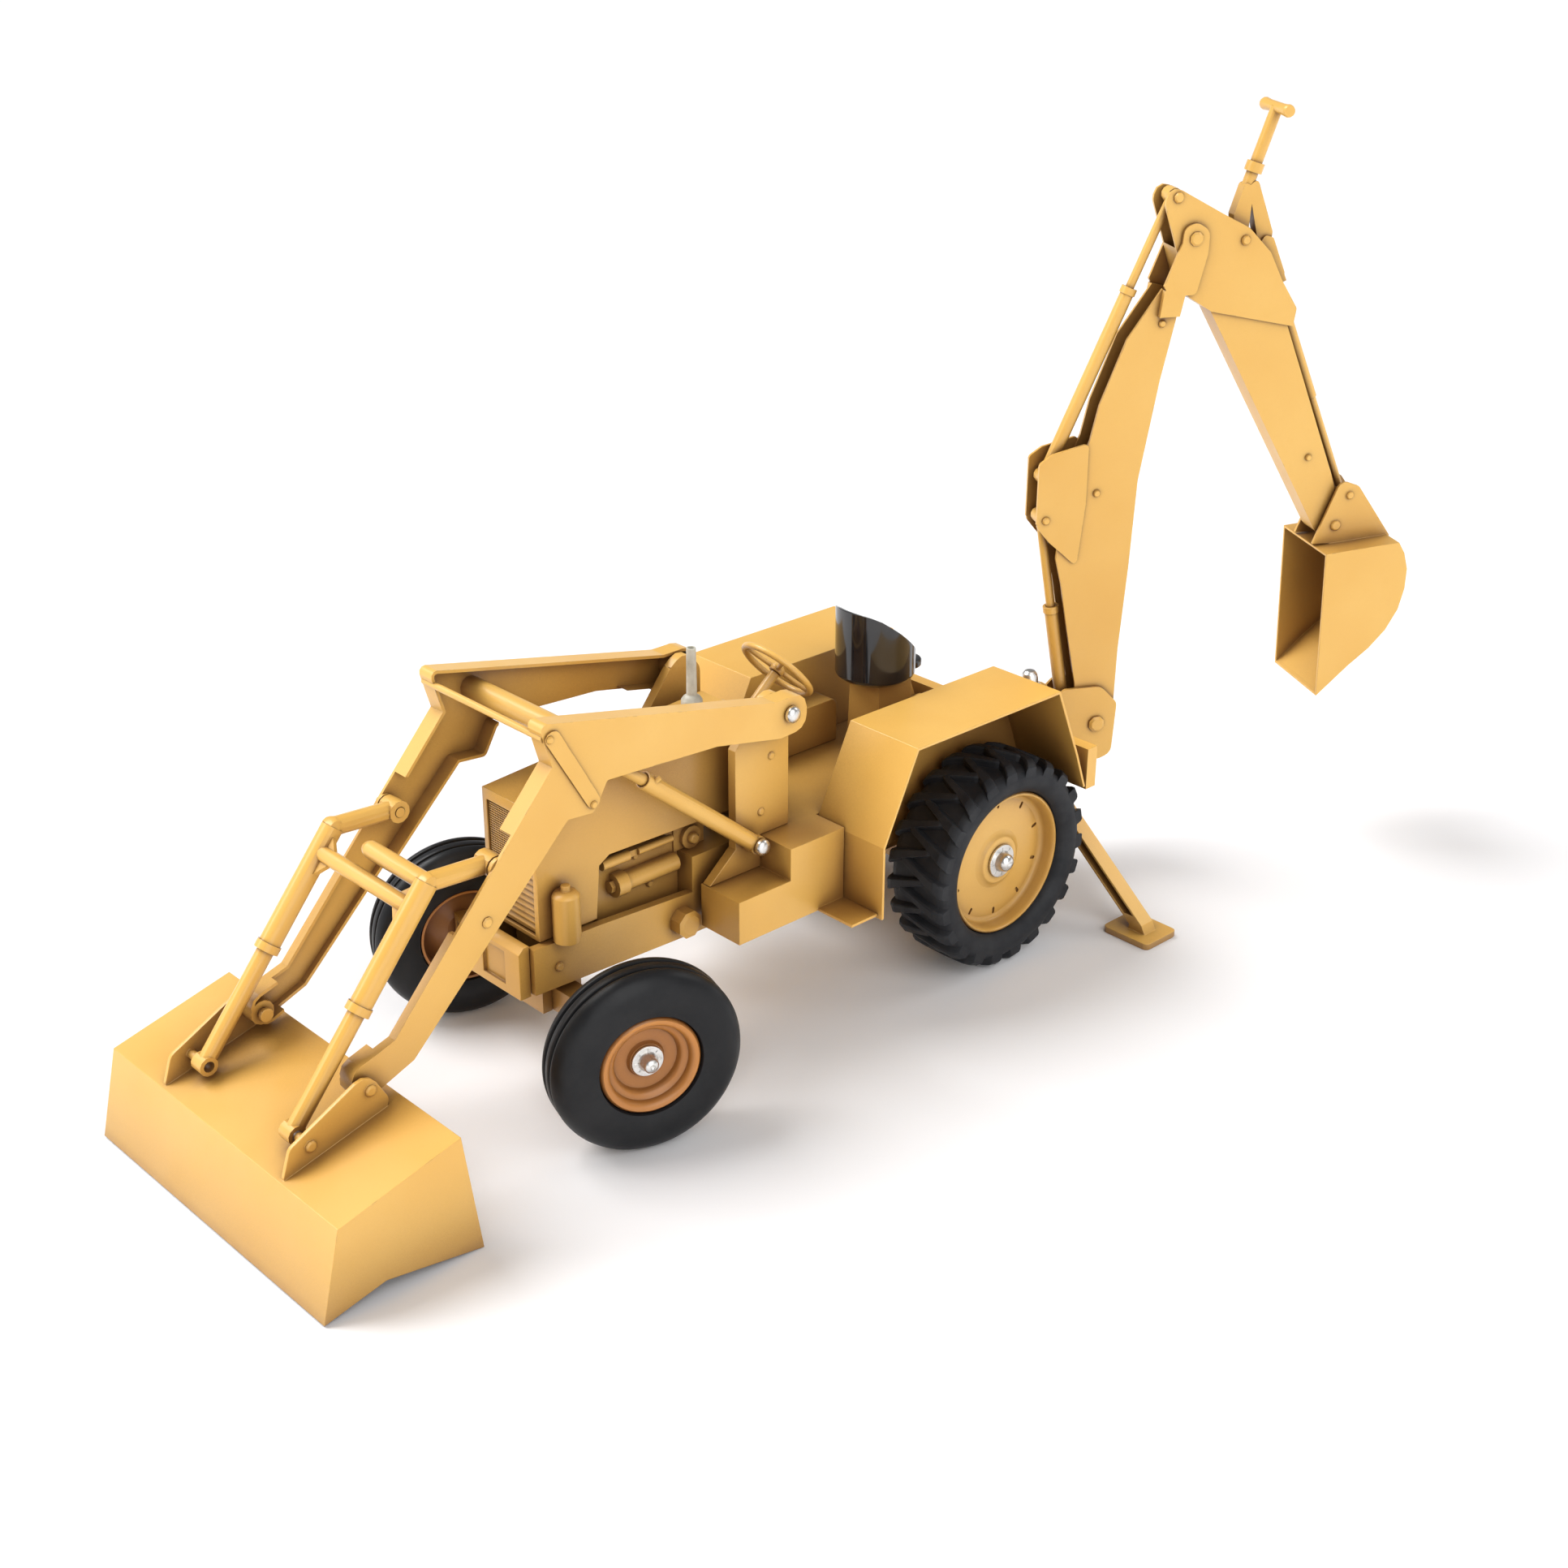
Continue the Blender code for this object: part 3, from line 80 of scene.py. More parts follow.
CAMERA_PLACE = (0.7920, -0.7615, 0.6197)
CAMERA_TURN = math.radians(47.03)
CAMERA_TILT = math.radians(25.27)
CAMERA_ROLL = math.radians(0.19)
CAMERA_LENS = 51.63

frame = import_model()
cad_nodes = dict(frame["nodes"])


# ---------------------------------------------------------------- shapes

def loose(points, faces):
    """A mesh object in millimetres with its faces turned outwards."""
    shape = bmesh.new()
    corners = [shape.verts.new(point) for point in points]
    for face in faces:
        shape.faces.new([corners[i] for i in face])
    bmesh.ops.recalc_face_normals(shape, faces=shape.faces)
    mesh = bpy.data.meshes.new("shape")
    shape.to_mesh(mesh)
    shape.free()
    obj = bpy.data.objects.new("shape", mesh)
    bpy.context.scene.collection.objects.link(obj)
    return obj


def prism(outline, lo, hi, plane="yz"):
    """The outline pushed along the axis that its plane leaves out."""
    places = {
        "yz": lambda u, v, w: (w, u, v),
        "xz": lambda u, v, w: (u, w, v),
        "xy": lambda u, v, w: (u, v, w),
    }
    count = len(outline)
    points = [places[plane](u, v, w) for w in (lo, hi) for u, v in outline]
    faces = [list(range(count)), list(range(count, 2 * count))]
    for i in range(count):
        j = (i + 1) % count
        faces.append([i, j, j + count, i + count])
    return loose(points, faces)


def box(x, y, z):
    return prism([(x[0], y[0]), (x[1], y[0]), (x[1], y[1]), (x[0], y[1])], z[0], z[1], "xy")


def turned(profile, centre=(0, 0, 0), axis=(1, 0, 0), sides=FINE):
    """A lathed solid: rows of (radius, distance along the axis), closed on the axis or round a ring."""
    along = Vector(axis).normalized()
    across = Vector((0, 0, 1)) if abs(along.x) > 0.99 else along.orthogonal().normalized()
    third = along.cross(across)
    ring = profile[0][0] > 0
    points = []
    rows = []
    for radius, height in profile:
        row = []
        for i in range(sides if radius > 0 else 1):
            turn = 2 * math.pi * i / sides
            offset = (across * math.cos(turn) + third * math.sin(turn)) * radius
            row.append(len(points))
            points.append(Vector(centre) + along * height + offset)
        rows.append(row)
    pairs = list(zip(rows, rows[1:]))
    if ring:
        pairs.append((rows[-1], rows[0]))
    faces = []
    for low, high in pairs:
        for i in range(sides):
            j = (i + 1) % sides
            face = [low[i % len(low)], low[j % len(low)], high[j % len(high)], high[i % len(high)]]
            faces.append(list(dict.fromkeys(face)))
    return loose(points, faces)


def rod(start, end, radius, sides=32):
    length = (Vector(end) - Vector(start)).length
    profile = [(0, 0), (radius, 0), (radius, length), (0, length)]
    return turned(profile, start, Vector(end) - Vector(start), sides)


def softened(profile, radius, steps=3):
    """An open profile whose inner corners become short arcs, for turned edges that catch the light."""
    result = [profile[0]]
    for before, here, after in zip(profile, profile[1:], profile[2:]):
        corner = Vector(here)
        back = Vector(before) - corner
        front = Vector(after) - corner
        reach = min(radius, back.length * 0.45, front.length * 0.45)
        first = corner + back.normalized() * reach
        last = corner + front.normalized() * reach
        for step in range(steps + 1):
            t = step / steps
            spot = first * (1 - t) ** 2 + corner * 2 * t * (1 - t) + last * t ** 2
            result.append((spot.x, spot.y))
    result.append(profile[-1])
    return result


def copied(shape, matrix):
    copy = shape.copy()
    copy.data = shape.data.copy()
    bpy.context.scene.collection.objects.link(copy)
    copy.data.transform(matrix)
    return copy


def round_x(shape, count):
    """The shape and its copies spaced round the x axis."""
    turns = [2 * math.pi * i / count for i in range(1, count)]
    return [shape] + [copied(shape, Matrix.Rotation(turn, 4, "X")) for turn in turns]


def joined(shapes):
    """One mesh object holding every shape."""
    whole = bmesh.new()
    for shape in shapes:
        whole.from_mesh(shape.data)
    for shape in shapes:
        bpy.data.objects.remove(shape)
    mesh = bpy.data.meshes.new("joined")
    whole.to_mesh(mesh)
    whole.free()
    obj = bpy.data.objects.new("joined", mesh)
    bpy.context.scene.collection.objects.link(obj)
    return obj


def cut(base, cutters):
    """The base less every cutter, with the cut baked in."""
    tool = joined(cutters)
    modifier = base.modifiers.new("cut", "BOOLEAN")
    modifier.operation = "DIFFERENCE"
    modifier.object = tool
    bpy.context.view_layer.update()
    mesh = bpy.data.meshes.new_from_object(base.evaluated_get(bpy.context.evaluated_depsgraph_get()))
    base.modifiers.clear()
    base.data = mesh
    bpy.data.objects.remove(tool)
    return base


# ---------------------------------------------------------------- finishing a mesh

def face_width(face, edge):
    return face.calc_area() / max(edge.calc_length(), 1e-6)


def folded(shape):
    """The area, in square millimetres, of the faces that lean away from their own corners' normals."""
    shape.normal_update()
    area = 0.0
    for face in shape.faces:
        if min(vert.normal.dot(face.normal) for vert in face.verts) < FOLDED_LEAN:
            area += face.calc_area()
    return area


def soften(shape, bevel):
    """Frees the shape and returns it rounded by the widest bevel that doesn't fold its surface over."""
    most = folded(shape) + FOLD_AREA
    for share in BEVEL_SHARES:
        made = shape.copy()
        round_edges(made, bevel * share)
        if share == 0 or folded(made) < most:
            break
        made.free()
    shape.free()
    return made


def round_edges(shape, bevel):
    """Bevels the real edges of a bmesh in millimetres and leaves the facets of round stretches smooth."""
    chosen = []
    for edge in shape.edges:
        if len(edge.link_faces) != 2:
            continue
        angle = edge.calc_face_angle(0)
        widths = [face_width(face, edge) for face in edge.link_faces]
        if angle < FLAT_ANGLE or (angle < ROUND_ANGLE and max(widths) < ROUND_WIDTH):
            continue
        edge.smooth = False
        if edge.calc_length() > 3 * bevel and min(widths) > 2.6 * bevel:
            chosen.append(edge)
    if chosen and bevel > 0:
        for edge in chosen:
            edge.smooth = True
        bmesh.ops.bevel(
            shape, geom=chosen, offset=bevel, offset_type="OFFSET", segments=2, profile=0.5,
            affect="EDGES", clamp_overlap=False, miter_outer="SHARP", miter_inner="SHARP",
        )
    bmesh.ops.dissolve_degenerate(shape, edges=shape.edges, dist=WELD)
    bmesh.ops.triangulate(shape, faces=[face for face in shape.faces if len(face.verts) > 4])
    for face in shape.faces:
        face.smooth = True


def finished(name, shape, look, node):
    """An object made of the bmesh, which is freed, standing for a CAD node and riding on its body."""
    mesh = bpy.data.meshes.new(name)
    shape.to_mesh(mesh)
    shape.free()
    mesh.materials.append(look)
    made = bpy.data.objects.new(name, mesh)
    bpy.context.scene.collection.objects.link(made)
    modifier = made.modifiers.new("weighted normals", "WEIGHTED_NORMAL")
    modifier.keep_sharp = True
    modifier.weight = 60
    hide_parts(node)
    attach(made, cad_nodes[node]["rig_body"])


def piece(node, drawn, look, place=TRACTOR, bevel=0.0, flip=False):
    """Puts a shape drawn in a frame's millimetres in its node's place."""
    shape = bmesh.new()
    shape.from_mesh(drawn.data)
    bpy.data.objects.remove(drawn)
    bmesh.ops.remove_doubles(shape, verts=shape.verts, dist=WELD)
    shape = soften(shape, bevel)
    shape.transform(Matrix.Scale(MM, 4) @ place)
    if flip:
        shape.transform(Matrix.Scale(-1, 4, (1, 0, 0)))
        bmesh.ops.reverse_faces(shape, faces=shape.faces)
    finished(node + "_fine", shape, look, node)


def refined(node, look):
    """A fine copy of a CAD node: facets merged, real edges rounded, round stretches shaded smooth."""
    shape = bmesh.new()
    shape.from_mesh(cad_nodes[node].data)
    shape.transform(Matrix.Scale(1 / MM, 4))
    bmesh.ops.remove_doubles(shape, verts=shape.verts, dist=WELD)
    bmesh.ops.dissolve_limit(shape, angle_limit=MERGED_ANGLE, verts=shape.verts, edges=shape.edges)
    shape = soften(shape, BEVEL)
    shape.transform(Matrix.Scale(MM, 4))
    finished(node + "_fine", shape, look, node)


# ---------------------------------------------------------------- materials

class Nodes:
    """A material's node tree with short calls for the nodes that the finishes share."""

    def __init__(self, name):
        self.made = bpy.data.materials.new(name)
        self.made.use_nodes = True
        self.tree = self.made.node_tree
        self.shader = self.tree.nodes["Principled BSDF"]
        self.place = self.add("ShaderNodeTexCoord").outputs["Object"]

    def add(self, kind, **values):
        node = self.tree.nodes.new(kind)
        for key, value in values.items():
            setattr(node, key, value)
        return node

    def join(self, source, target):
        self.tree.links.new(source, target)

    def noise(self, scale, detail=3.0, rough=0.5, stretch=None):
        node = self.add("ShaderNodeTexNoise")
        node.inputs["Scale"].default_value = scale
        node.inputs["Detail"].default_value = detail
        node.inputs["Roughness"].default_value = rough
        place = self.place
        if stretch:
            mapping = self.add("ShaderNodeMapping")
            mapping.inputs["Scale"].default_value = stretch
            self.join(place, mapping.inputs["Vector"])
            place = mapping.outputs["Vector"]
        self.join(place, node.inputs["Vector"])
        return node.outputs["Fac"]

    def ramp(self, source, low, high, start=0.0, end=1.0):
        node = self.add("ShaderNodeMapRange")
        for key, value in (("From Min", low), ("From Max", high), ("To Min", start), ("To Max", end)):
            node.inputs[key].default_value = value
        self.join(source, node.inputs["Value"])
        return node.outputs["Result"]

    def times(self, first, second):
        node = self.add("ShaderNodeMath", operation="MULTIPLY")
        for source, target in ((first, node.inputs[0]), (second, node.inputs[1])):
            if isinstance(source, float):
                target.default_value = source
            else:
                self.join(source, target)
        return node.outputs[0]

    def mix(self, share, first, second):
        node = self.add("ShaderNodeMix", data_type="RGBA")
        self.join(share, node.inputs["Factor"])
        for source, target in ((first, node.inputs["A"]), (second, node.inputs["B"])):
            if isinstance(source, tuple):
                target.default_value = (*source, 1)
            else:
                self.join(source, target)
        return node.outputs["Result"]

    def corners(self, distance):
        """One in corners and crevices, nought in the open."""
        node = self.add("ShaderNodeAmbientOcclusion", samples=6)
        node.inputs["Distance"].default_value = distance
        return self.ramp(node.outputs["AO"], 0.35, 0.95, 1.0, 0.0)

    def edges(self, radius):
        """One along sharp edges, nought on flat ground."""
        bevel = self.add("ShaderNodeBevel", samples=4)
        bevel.inputs["Radius"].default_value = radius
        here = self.add("ShaderNodeNewGeometry")
        product = self.add("ShaderNodeVectorMath", operation="DOT_PRODUCT")
        self.join(bevel.outputs["Normal"], product.inputs[0])
        self.join(here.outputs["Normal"], product.inputs[1])
        return self.ramp(product.outputs["Value"], 0.90, 0.99, 1.0, 0.0)

    def bump(self, source, strength, distance):
        node = self.add("ShaderNodeBump")
        node.inputs["Strength"].default_value = strength
        node.inputs["Distance"].default_value = distance
        self.join(source, node.inputs["Height"])
        self.join(node.outputs["Normal"], self.shader.inputs["Normal"])

    def finish(self, colour, roughness, **sockets):
        self.join(colour, self.shader.inputs["Base Color"])
        self.join(roughness, self.shader.inputs["Roughness"])
        for key, value in sockets.items():
            self.shader.inputs[key.replace("_", " ")].default_value = value
        return self.made


def enamel(name, light, dark, shade_and_grime, wear):
    """Sprayed toy enamel with slow tone changes, painted shade in corners and hollows, dirt with painted
    shade in tight crevices, and rubbed edges.
    """
    n = Nodes(name)
    tone = n.mix(n.ramp(n.noise(11, 3), 0.35, 0.65), light, dark)
    tone = n.mix(n.times(n.ramp(n.noise(240, 4, 0.6), 0.5, 0.75), 0.22), tone, dark)
    # Painted shade: corners and hollows within 60 mm are darkened towards the third colour.
    tone = n.mix(n.times(n.corners(0.06), 0.85), tone, shade_and_grime)
    # Dirt and painted shade: tight crevices within 8 mm are darkened in patches towards the third colour.
    crevice_dirt_and_shade = n.times(n.corners(0.008), n.ramp(n.noise(70, 5, 0.6), 0.30, 0.70, 0.45, 0.95))
    tone = n.mix(crevice_dirt_and_shade, tone, shade_and_grime)
    rubbed = n.times(n.edges(0.0007), n.ramp(n.noise(110, 6, 0.65), 0.53, 0.66, 0.0, 0.7))
    tone = n.mix(rubbed, tone, wear)
    n.bump(n.noise(1300, 2), 0.05, 0.0002)
    gloss = n.ramp(n.noise(38, 4), 0.3, 0.7, 0.30, 0.44)
    return n.finish(tone, gloss, Coat_Weight=0.25, Coat_Roughness=0.18)


def rubber(name, dark, dust, low, high):
    """Moulded rubber with a dusty bloom that is thickest in its corners."""
    n = Nodes(name)
    bloom = n.ramp(n.noise(45, 5, 0.62), 0.42, 0.72, 0.0, 0.55)
    tone = n.mix(bloom, dark, dust)
    tone = n.mix(n.times(n.corners(0.004), 0.4), tone, dust)
    n.bump(n.noise(900, 3), 0.12, 0.0002)
    return n.finish(tone, n.ramp(n.noise(60, 4), 0.3, 0.7, low, high), Specular_IOR_Level=0.3)


def plated(name):
    """Zinc-plated steel with fine stains."""
    n = Nodes(name)
    stains = n.ramp(n.noise(200, 4, 0.6), 0.48, 0.72, 0.0, 0.6)
    tone = n.mix(stains, (0.80, 0.79, 0.77), (0.50, 0.47, 0.42))
    n.bump(n.noise(700, 2), 0.03, 0.0002)
    return n.finish(tone, n.ramp(n.noise(120, 3), 0.3, 0.7, 0.24, 0.36), Metallic=1.0)


def gloss_black(name):
    """Glossy black plastic with faint handling marks."""
    n = Nodes(name)
    tone = n.mix(n.ramp(n.noise(60, 4), 0.4, 0.7), (0.008, 0.008, 0.010), (0.020, 0.019, 0.020))
    smear = n.ramp(n.noise(90, 6, 0.6, (1, 1, 0.3)), 0.35, 0.75, 0.07, 0.24)
    n.bump(n.noise(250, 2), 0.02, 0.0003)
    return n.finish(tone, smear, Coat_Weight=0.4, Coat_Roughness=0.05)


def aged_cream(name):
    """Pale grey plastic gone slightly yellow."""
    n = Nodes(name)
    tone = n.mix(n.ramp(n.noise(120, 5, 0.6), 0.4, 0.7), (0.62, 0.60, 0.51), (0.42, 0.39, 0.31))
    n.bump(n.noise(800, 2), 0.08, 0.0002)
    return n.finish(tone, n.ramp(n.noise(90, 3), 0.3, 0.7, 0.38, 0.55))


# The third colour of each enamel is painted shade in corners and hollows, and dirt in tight crevices.
YELLOW = enamel(
    "toy_yellow", light=(0.86, 0.51, 0.12), dark=(0.81, 0.45, 0.09), shade_and_grime=(0.17, 0.07, 0.018),
    wear=(0.22, 0.12, 0.05),
)
ORANGE = enamel(
    "rim_orange", light=(0.64, 0.265, 0.05), dark=(0.54, 0.205, 0.035), shade_and_grime=(0.13, 0.045, 0.012),
    wear=(0.24, 0.11, 0.04),
)
FRONT_RUBBER = rubber("front_rubber", (0.006, 0.0065, 0.008), (0.018, 0.018, 0.019), 0.34, 0.50)
REAR_RUBBER = rubber("rear_rubber", (0.011, 0.012, 0.015), (0.040, 0.041, 0.044), 0.48, 0.66)
SILVER = plated("zinc_plate")
BLACK = gloss_black("seat_plastic")
CREAM = aged_cream("stack_plastic")
LOOKS = {"paint": YELLOW, "rim_paint": ORANGE, "silver": SILVER, "seat": BLACK, "stack": CREAM}
slot_of = {row["node"]: row["material_slot"] for row in frame["record"]["subparts"]}


# ---------------------------------------------------------------- wheels

STEER = math.radians(-17.7)
KINGPIN = (63.3, -251.9)
WHEEL_REACH = 30.0
FRONT_MIDDLE = -11.75
REAR_MIDDLE = 65.0
LUGS = 22
LUG_LEAN = math.radians(12)
TREAD_BEVEL = 0.25


def front_wheel_place(sign):
    """The frame of a front wheel, x outwards along its axle."""
    heading = Matrix.Rotation(STEER + (0 if sign > 0 else math.pi), 4, "Z")
    kingpin = Matrix.Translation((KINGPIN[0] * sign, KINGPIN[1], 0))
    return TRACTOR @ kingpin @ heading @ Matrix.Translation((WHEEL_REACH, 0, FRONT_R))


def mirrored_tyre(half, middle):
    """A tyre lathed from half a section, rows of (radius, distance from the tyre's middle)."""
    outer = [(radius, middle + x) for radius, x in half]
    inner = [(radius, middle - x) for radius, x in reversed(half)]
    return turned([*outer, *inner], sides=128)


def front_tyre():
    """A balloon tyre whose tread has two turned grooves between three ribs."""
    half = [
        (26.1, 11.2), (26.5, 12.4), (28.4, 12.9), (31, 13.5), (35, 13.75), (39.5, 13.3), (43.2, 12.0),
        (45.8, 10.2), (47.4, 8.0), (48.1, 6.2), (FRONT_R, 5.2), (48.0, 4.4), (46.5, 3.9), (46.3, 3.2),
        (46.6, 2.6), (47.9, 2.2), (FRONT_R, 1.4), (FRONT_R, 0.5),
    ]
    return mirrored_tyre(half, FRONT_MIDDLE)


def front_rim():
    """A flat ring that steps down twice into the dish."""
    profile = [
        (25.6, -1.4), (25.2, -0.4), (24.2, 0.4), (22.8, 0.2), (21.6, -0.3), (20.6, -1.8), (20.2, -3.6),
        (18.4, -4.3), (17.2, -4.9), (16.5, -6.6), (16.0, -7.7), (13, -8), (9.6, -8), (9.0, -7.2), (8.6, -6.2),
        (5.3, -6), (5.3, -15), (9, -15), (23.4, -9.5), (24.3, -23.2), (25.6, -23.2),
    ]
    return turned(profile, sides=128)


def star_washer(radius, inner, x, thickness):
    """A thin washer with slots pressed in from its hole."""
    face = x + thickness
    disc = turned(softened([(inner, x), (radius, x), (radius, face), (inner, face)], 0.3), sides=64)
    slot = box((face - 0.5, face + 1), (-0.45, 0.45), (inner + 1.0, radius - 1.1))
    return cut(disc, round_x(slot, 8))


def front_hub():
    washer = star_washer(8, 4.4, -5.7, 1.1)
    cap = [
        (0, -5.6), (5.2, -5.6), (5.0, -3.8), (4.4, -2.8), (3.9, -1.2),
        (3.7, 0.3), (2.9, 1.2), (1.4, 1.6), (0, 1.7),
    ]
    dent = turned([(0, 0.6), (1.3, 1.3), (1.7, 2.4), (0, 2.4)], sides=24)
    return joined([washer, cut(turned(cap, sides=48), [dent])])


def rear_nut():
    washer = star_washer(9.4, 5.2, 75.3, 1.3)
    cap = [
        (0, 75.4), (6, 75.4), (5.9, 77), (5.2, 77.8), (5, 79.6),
        (4.4, 81), (3, 82.1), (1.4, 82.5), (0, 82.6),
    ]
    dent = turned([(0, 81.4), (1.4, 82.0), (1.8, 83.4), (0, 83.4)], sides=24)
    return joined([washer, cut(turned(cap, sides=48), [dent])])


def rear_rim():
    """A deep dish with a rolled lip and ten pressed slots."""
    profile = [
        (40.7, 78.6), (40.6, 79.7), (39.9, 80.3), (39.1, 80.3), (38.5, 79.5), (38.1, 78), (37.4, 74.4),
        (36.8, 72.8), (35.8, 72), (34.2, 71.8), (24, 72), (17, 72.5), (14.6, 73.2), (13.6, 74.4), (12.6, 75),
        (6.3, 75), (6.3, 64), (13, 64), (24, 68.6), (38.6, 68), (39.2, 50), (40.7, 50),
    ]
    disc = turned(profile, sides=128)
    slot = []
    for i in range(16):
        turn = 2 * math.pi * i / 16
        centre = 33.3 if math.sin(turn) >= 0 else 31.1
        slot.append((math.cos(turn) * 0.95, centre + math.sin(turn) * 0.95))
    return cut(disc, round_x(prism(slot, 70.7, 80), 10))


def lug(sign):
    """One bar of the rear tread, from just past the middle over the shoulder to the sidewall.

    A station is (distance from the middle, share of the lean, width, lowest radius, depth under REAR_R).
    """
    stations = [
        (-9.5, -0.52, 3.0, 53.5, 0.9), (-7.5, -0.46, 3.8, 53.5, 0.1), (6.0, -0.06, 5.0, 53.5, 0.0),
        (15.0, 0.24, 6.6, 53.0, 0.4), (18.4, 0.38, 7.6, 51.5, 1.5), (20.2, 0.46, 8.4, 50.0, 3.4),
    ]
    points = []
    for x, turn, width, low, depth in stations:
        high = REAR_R - depth
        spread = turn * LUG_LEAN + (0 if sign > 0 else math.pi / LUGS)
        rows = ((low, -1.35), (low, 1.35), (high - 1.1, 1.05), (high, 0.8), (high, -0.8), (high - 1.1, -1.05))
        for radius, share in rows:
            angle = spread + share * width / 2 / REAR_R
            points.append((REAR_MIDDLE + x * sign, -radius * math.sin(angle), radius * math.cos(angle)))
    count = 6
    faces = [list(range(count)), list(range(len(points) - count, len(points)))]
    for k in range(len(stations) - 1):
        for i in range(count):
            j = (i + 1) % count
            faces.append([k * count + i, k * count + j, (k + 1) * count + j, (k + 1) * count + i])
    return loose(points, faces)


def rear_tyre():
    half = [
        (41.2, 14.6), (41.6, 16.2), (42.6, 17.9), (44.5, 19.2), (46.6, 20.1), (48.6, 20.4),
        (51.2, 20.3), (53.0, 19.5), (54.6, 17.8), (55.4, 15), (55.8, 8), (56, 1),
    ]
    return joined([mirrored_tyre(half, REAR_MIDDLE), *round_x(lug(1), LUGS), *round_x(lug(-1), LUGS)])


def wheels():
    for side, sign in (("_l", 1), ("_r", -1)):
        place = front_wheel_place(sign)
        piece("front_tyre" + side, front_tyre(), FRONT_RUBBER, place)
        piece("front_rim" + side, front_rim(), ORANGE, place)
        piece("front_hub" + side, front_hub(), SILVER, place)
        place = TRACTOR @ Matrix.Translation((0, 0, REAR_R))
        flip = sign < 0
        piece("rear_tyre" + side, rear_tyre(), REAR_RUBBER, place, TREAD_BEVEL, flip)
        piece("rear_rim" + side, rear_rim(), YELLOW, place, flip=flip)
        piece("rear_nut" + side, rear_nut(), SILVER, place, flip=flip)


# ---------------------------------------------------------------- cab

def seat():
    """A tub seat turned to face the backhoe: a thin round wall, high towards the hood, that slopes down."""
    wall = [(0, 152), (17, 152), (21.8, 155.4), (21.8, 196), (19.3, 196), (19.2, 158.4), (0, 158)]
    tub = turned(softened(wall, 1.2), (0, -24, 0), (0, 0, 1), 128)
    top = [
        (-60, 210), (-60, 194.5), (-44, 194.5), (-41, 193.6), (-37, 191.4), (-27, 183.6),
        (-11, 169.8), (-7, 165.6), (-4.6, 162), (-3.6, 158.6), (20, 158.6), (20, 210),
    ]
    edge = [(0, 152.4), (8, 152.4), (8.6, 153.2), (8.6, 155.8), (7.8, 156.6), (0, 156.6)]
    lip = turned(edge, (0, 0, 0), (0, 0, 1), 48)
    tub = cut(tub, [prism(top, -40, 40), rod((0, -20, 148), (0, -20, 155.4), 3.3)])
    return joined([tub, lip])


def steering_wheel():
    hub = Vector((0, -96, 176))
    axis = Vector((0, 0.766, 0.643))
    rim = []
    for i in range(14):
        turn = 2 * math.pi * i / 14
        rim.append((20.4 + 1.8 * math.cos(turn), 1.8 * math.sin(turn)))
    shapes = [turned(rim, hub, axis, FINE)]
    cap = softened([(0, -2), (4, -2), (4.4, 0.4), (2.8, 2.2), (0, 2.8)], 0.6)
    shapes.append(turned(cap, hub, axis, 32))
    third = axis.normalized().cross(Vector((1, 0, 0)))
    for i in range(4):
        turn = math.pi * (i / 2 + 0.25)
        tip = Vector((1, 0, 0)) * math.cos(turn) + third * math.sin(turn)
        shapes.append(rod(hub + tip * 2.5, hub + tip * 20.0, 1.3, 16))
    return joined(shapes)


def exhaust_stack():
    profile = softened([
        (0, 166.9), (5.5, 166.9), (5.5, 176), (4.3, 177.8), (2.7, 178.8),
        (2.45, 204), (1.7, 204), (1.7, 186), (0, 186),
    ], 0.5)
    return turned(profile, (0, -154.5, 0), (0, 0, 1), 48)


def swing_pin():
    profile = softened([
        (0, 109.5), (7, 109.5), (7, 111), (5.1, 111.4), (5, 115.6),
        (4.4, 118), (3, 119.6), (1.4, 120.1), (0, 120.2),
    ], 0.4)
    return turned(profile, (0, 105, 0), (0, 0, 1), 48)


def pin_cap(point, x):
    """A domed silver cap on the outer end of a loader pin."""
    profile = [(0, 0), (4.4, 0), (4.4, 1.2), (4.1, 2.0), (3.3, 2.9), (2.1, 3.4), (1, 3.6), (0, 3.6)]
    return turned(profile, (x, point[0], point[1]), (1, 0, 0), 40)


WIRE_PITCH = 1.246
WIRE_HALF = 0.22


def grille():
    """Woven mesh above and louvres below, inside the hood's mouth."""
    shapes = [box((-16.9, 16.9), (-268.4, -267.2), (91.3, 151.7))]
    for i in range(9):
        z = 94 + i * 3.4
        shapes.append(prism([(-268.2, z), (-269.7, z), (-269.7, z + 0.5), (-268.2, z + 1.8)], -16.9, 16.9))
    for i in range(27):
        x = -16.2 + i * WIRE_PITCH
        shapes.append(box((x - WIRE_HALF, x + WIRE_HALF), (-269.2, -268.2), (124, 151)))
    for i in range(22):
        z = 124.4 + i * WIRE_PITCH
        shapes.append(box((-16.6, 16.6), (-269.4, -268.3), (z - WIRE_HALF, z + WIRE_HALF)))
    return joined(shapes)


def cab():
    piece("seat", seat(), BLACK, bevel=0.35)
    piece("steering_wheel", steering_wheel(), YELLOW)
    piece("exhaust_stack", exhaust_stack(), CREAM)
    piece("swing_pin", swing_pin(), SILVER)
    for side, flip in (("_l", False), ("_r", True)):
        piece("lift_pivot_cap" + side, pin_cap((-131.0, 176.5), 48.4), SILVER, flip=flip)
        piece("lift_base_cap" + side, pin_cap((-150.0, 109.0), 46.9), SILVER, flip=flip)
    piece("grille", grille(), YELLOW)


# ---------------------------------------------------------------- stage

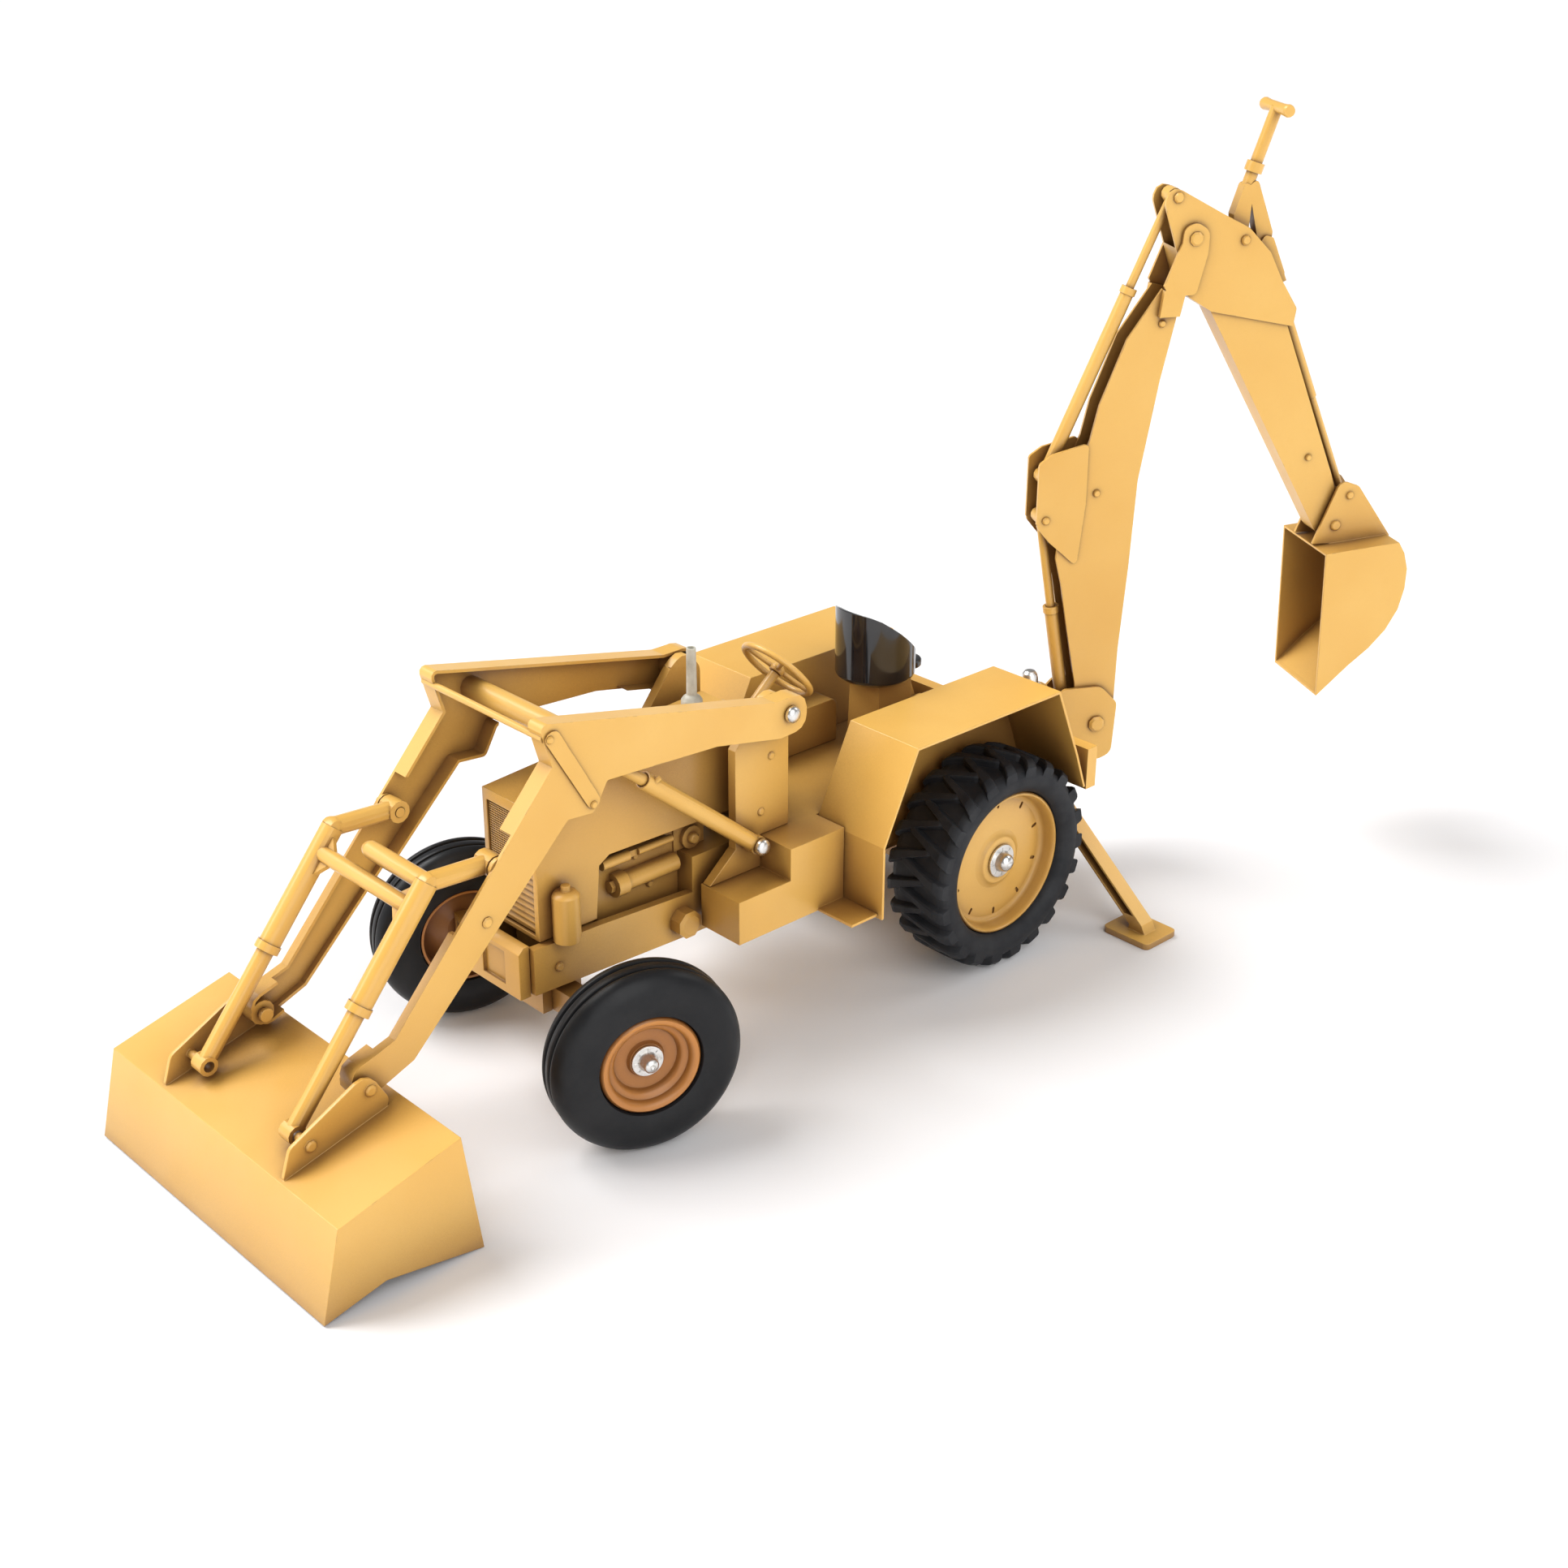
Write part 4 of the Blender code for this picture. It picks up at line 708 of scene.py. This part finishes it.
def camera():
    a, e, r = CAMERA_TURN, CAMERA_TILT, CAMERA_ROLL
    back = Vector((math.sin(a) * math.cos(e), -math.cos(a) * math.cos(e), math.sin(e)))
    right = Vector((math.cos(a), math.sin(a), 0))
    up = back.cross(right)
    columns = (right * math.cos(r) + up * math.sin(r), up * math.cos(r) - right * math.sin(r), back)
    data = bpy.data.cameras.new("camera")
    data.lens = CAMERA_LENS
    data.sensor_width = 36
    data.clip_end = 100
    made = bpy.data.objects.new("camera", data)
    made.matrix_world = Matrix.Translation(CAMERA_PLACE) @ Matrix(columns).transposed().to_4x4()
    bpy.context.scene.collection.objects.link(made)
    bpy.context.scene.camera = made


def area_light(name, place, aim, size, power):
    data = bpy.data.lights.new(name, "AREA")
    data.shape = "DISK"
    data.size = size
    data.energy = power
    made = bpy.data.objects.new(name, data)
    made.location = place
    made.rotation_mode = "QUATERNION"
    made.rotation_quaternion = (Vector(aim) - Vector(place)).to_track_quat("-Z", "Y")
    bpy.context.scene.collection.objects.link(made)


def sun(name, towards, energy, spread):
    """A far light whose disc is `spread` degrees wide."""
    light = bpy.data.lights.new(name, "SUN")
    light.energy = energy
    light.angle = math.radians(spread)
    lamp = bpy.data.objects.new(name, light)
    lamp.rotation_mode = "QUATERNION"
    lamp.rotation_quaternion = Vector(towards).to_track_quat("-Z", "Y")
    bpy.context.scene.collection.objects.link(lamp)


# How bright the surroundings are at the horizon, where the floor ends, and overhead.
HORIZON = 1.0
SKY = 0.24
FLOOR_HALF = 20000


def studio():
    corners = [(-FLOOR_HALF, -FLOOR_HALF, 0), (FLOOR_HALF, -FLOOR_HALF, 0)]
    corners += [(FLOOR_HALF, FLOOR_HALF, 0), (-FLOOR_HALF, FLOOR_HALF, 0)]
    floor = loose(corners, [(0, 1, 2, 3)])
    floor.data.transform(Matrix.Scale(MM, 4))
    floor.name = "floor"
    n = Nodes("white_sweep")
    tone = n.mix(n.noise(3, 2), (0.93, 0.925, 0.935), (0.945, 0.94, 0.95))
    floor.data.materials.append(n.finish(tone, n.ramp(n.noise(5, 2), 0.3, 0.7, 0.72, 0.8)))
    world = bpy.data.worlds.new("soft_white")
    world.use_nodes = True
    tree = world.node_tree
    tree.nodes["Background"].inputs["Color"].default_value = (1.0, 0.995, 1.0, 1)
    direction = tree.nodes.new("ShaderNodeTexCoord")
    height = tree.nodes.new("ShaderNodeSeparateXYZ")
    fade = tree.nodes.new("ShaderNodeMapRange")
    fade.inputs["From Min"].default_value = 0.10
    fade.inputs["From Max"].default_value = 0.22
    fade.inputs["To Min"].default_value = HORIZON
    fade.inputs["To Max"].default_value = SKY
    tree.links.new(direction.outputs["Generated"], height.inputs["Vector"])
    tree.links.new(height.outputs["Z"], fade.inputs["Value"])
    tree.links.new(fade.outputs["Result"], tree.nodes["Background"].inputs["Strength"])
    bpy.context.scene.world = world
    sun("window", (0.7, 0.45, -1.15), 2.5, 36)
    sun("fill", (-1.0, 0.25, -0.7), 1.45, 60)
    aim = (0, 0, 0.12)
    area_light("strip", (-0.9, -1.3, 0.9), aim, 0.7, 5)
    area_light("back", (0.6, 1.3, 1.2), aim, 0.8, 4)
    bpy.context.scene.view_settings.view_transform = "Standard"


# ---------------------------------------------------------------- assembly

wheels()
cab()
for name in sorted(cad_nodes):
    if not cad_nodes[name].hide_render:
        refined(name, LOOKS[slot_of[name]])
camera()
studio()
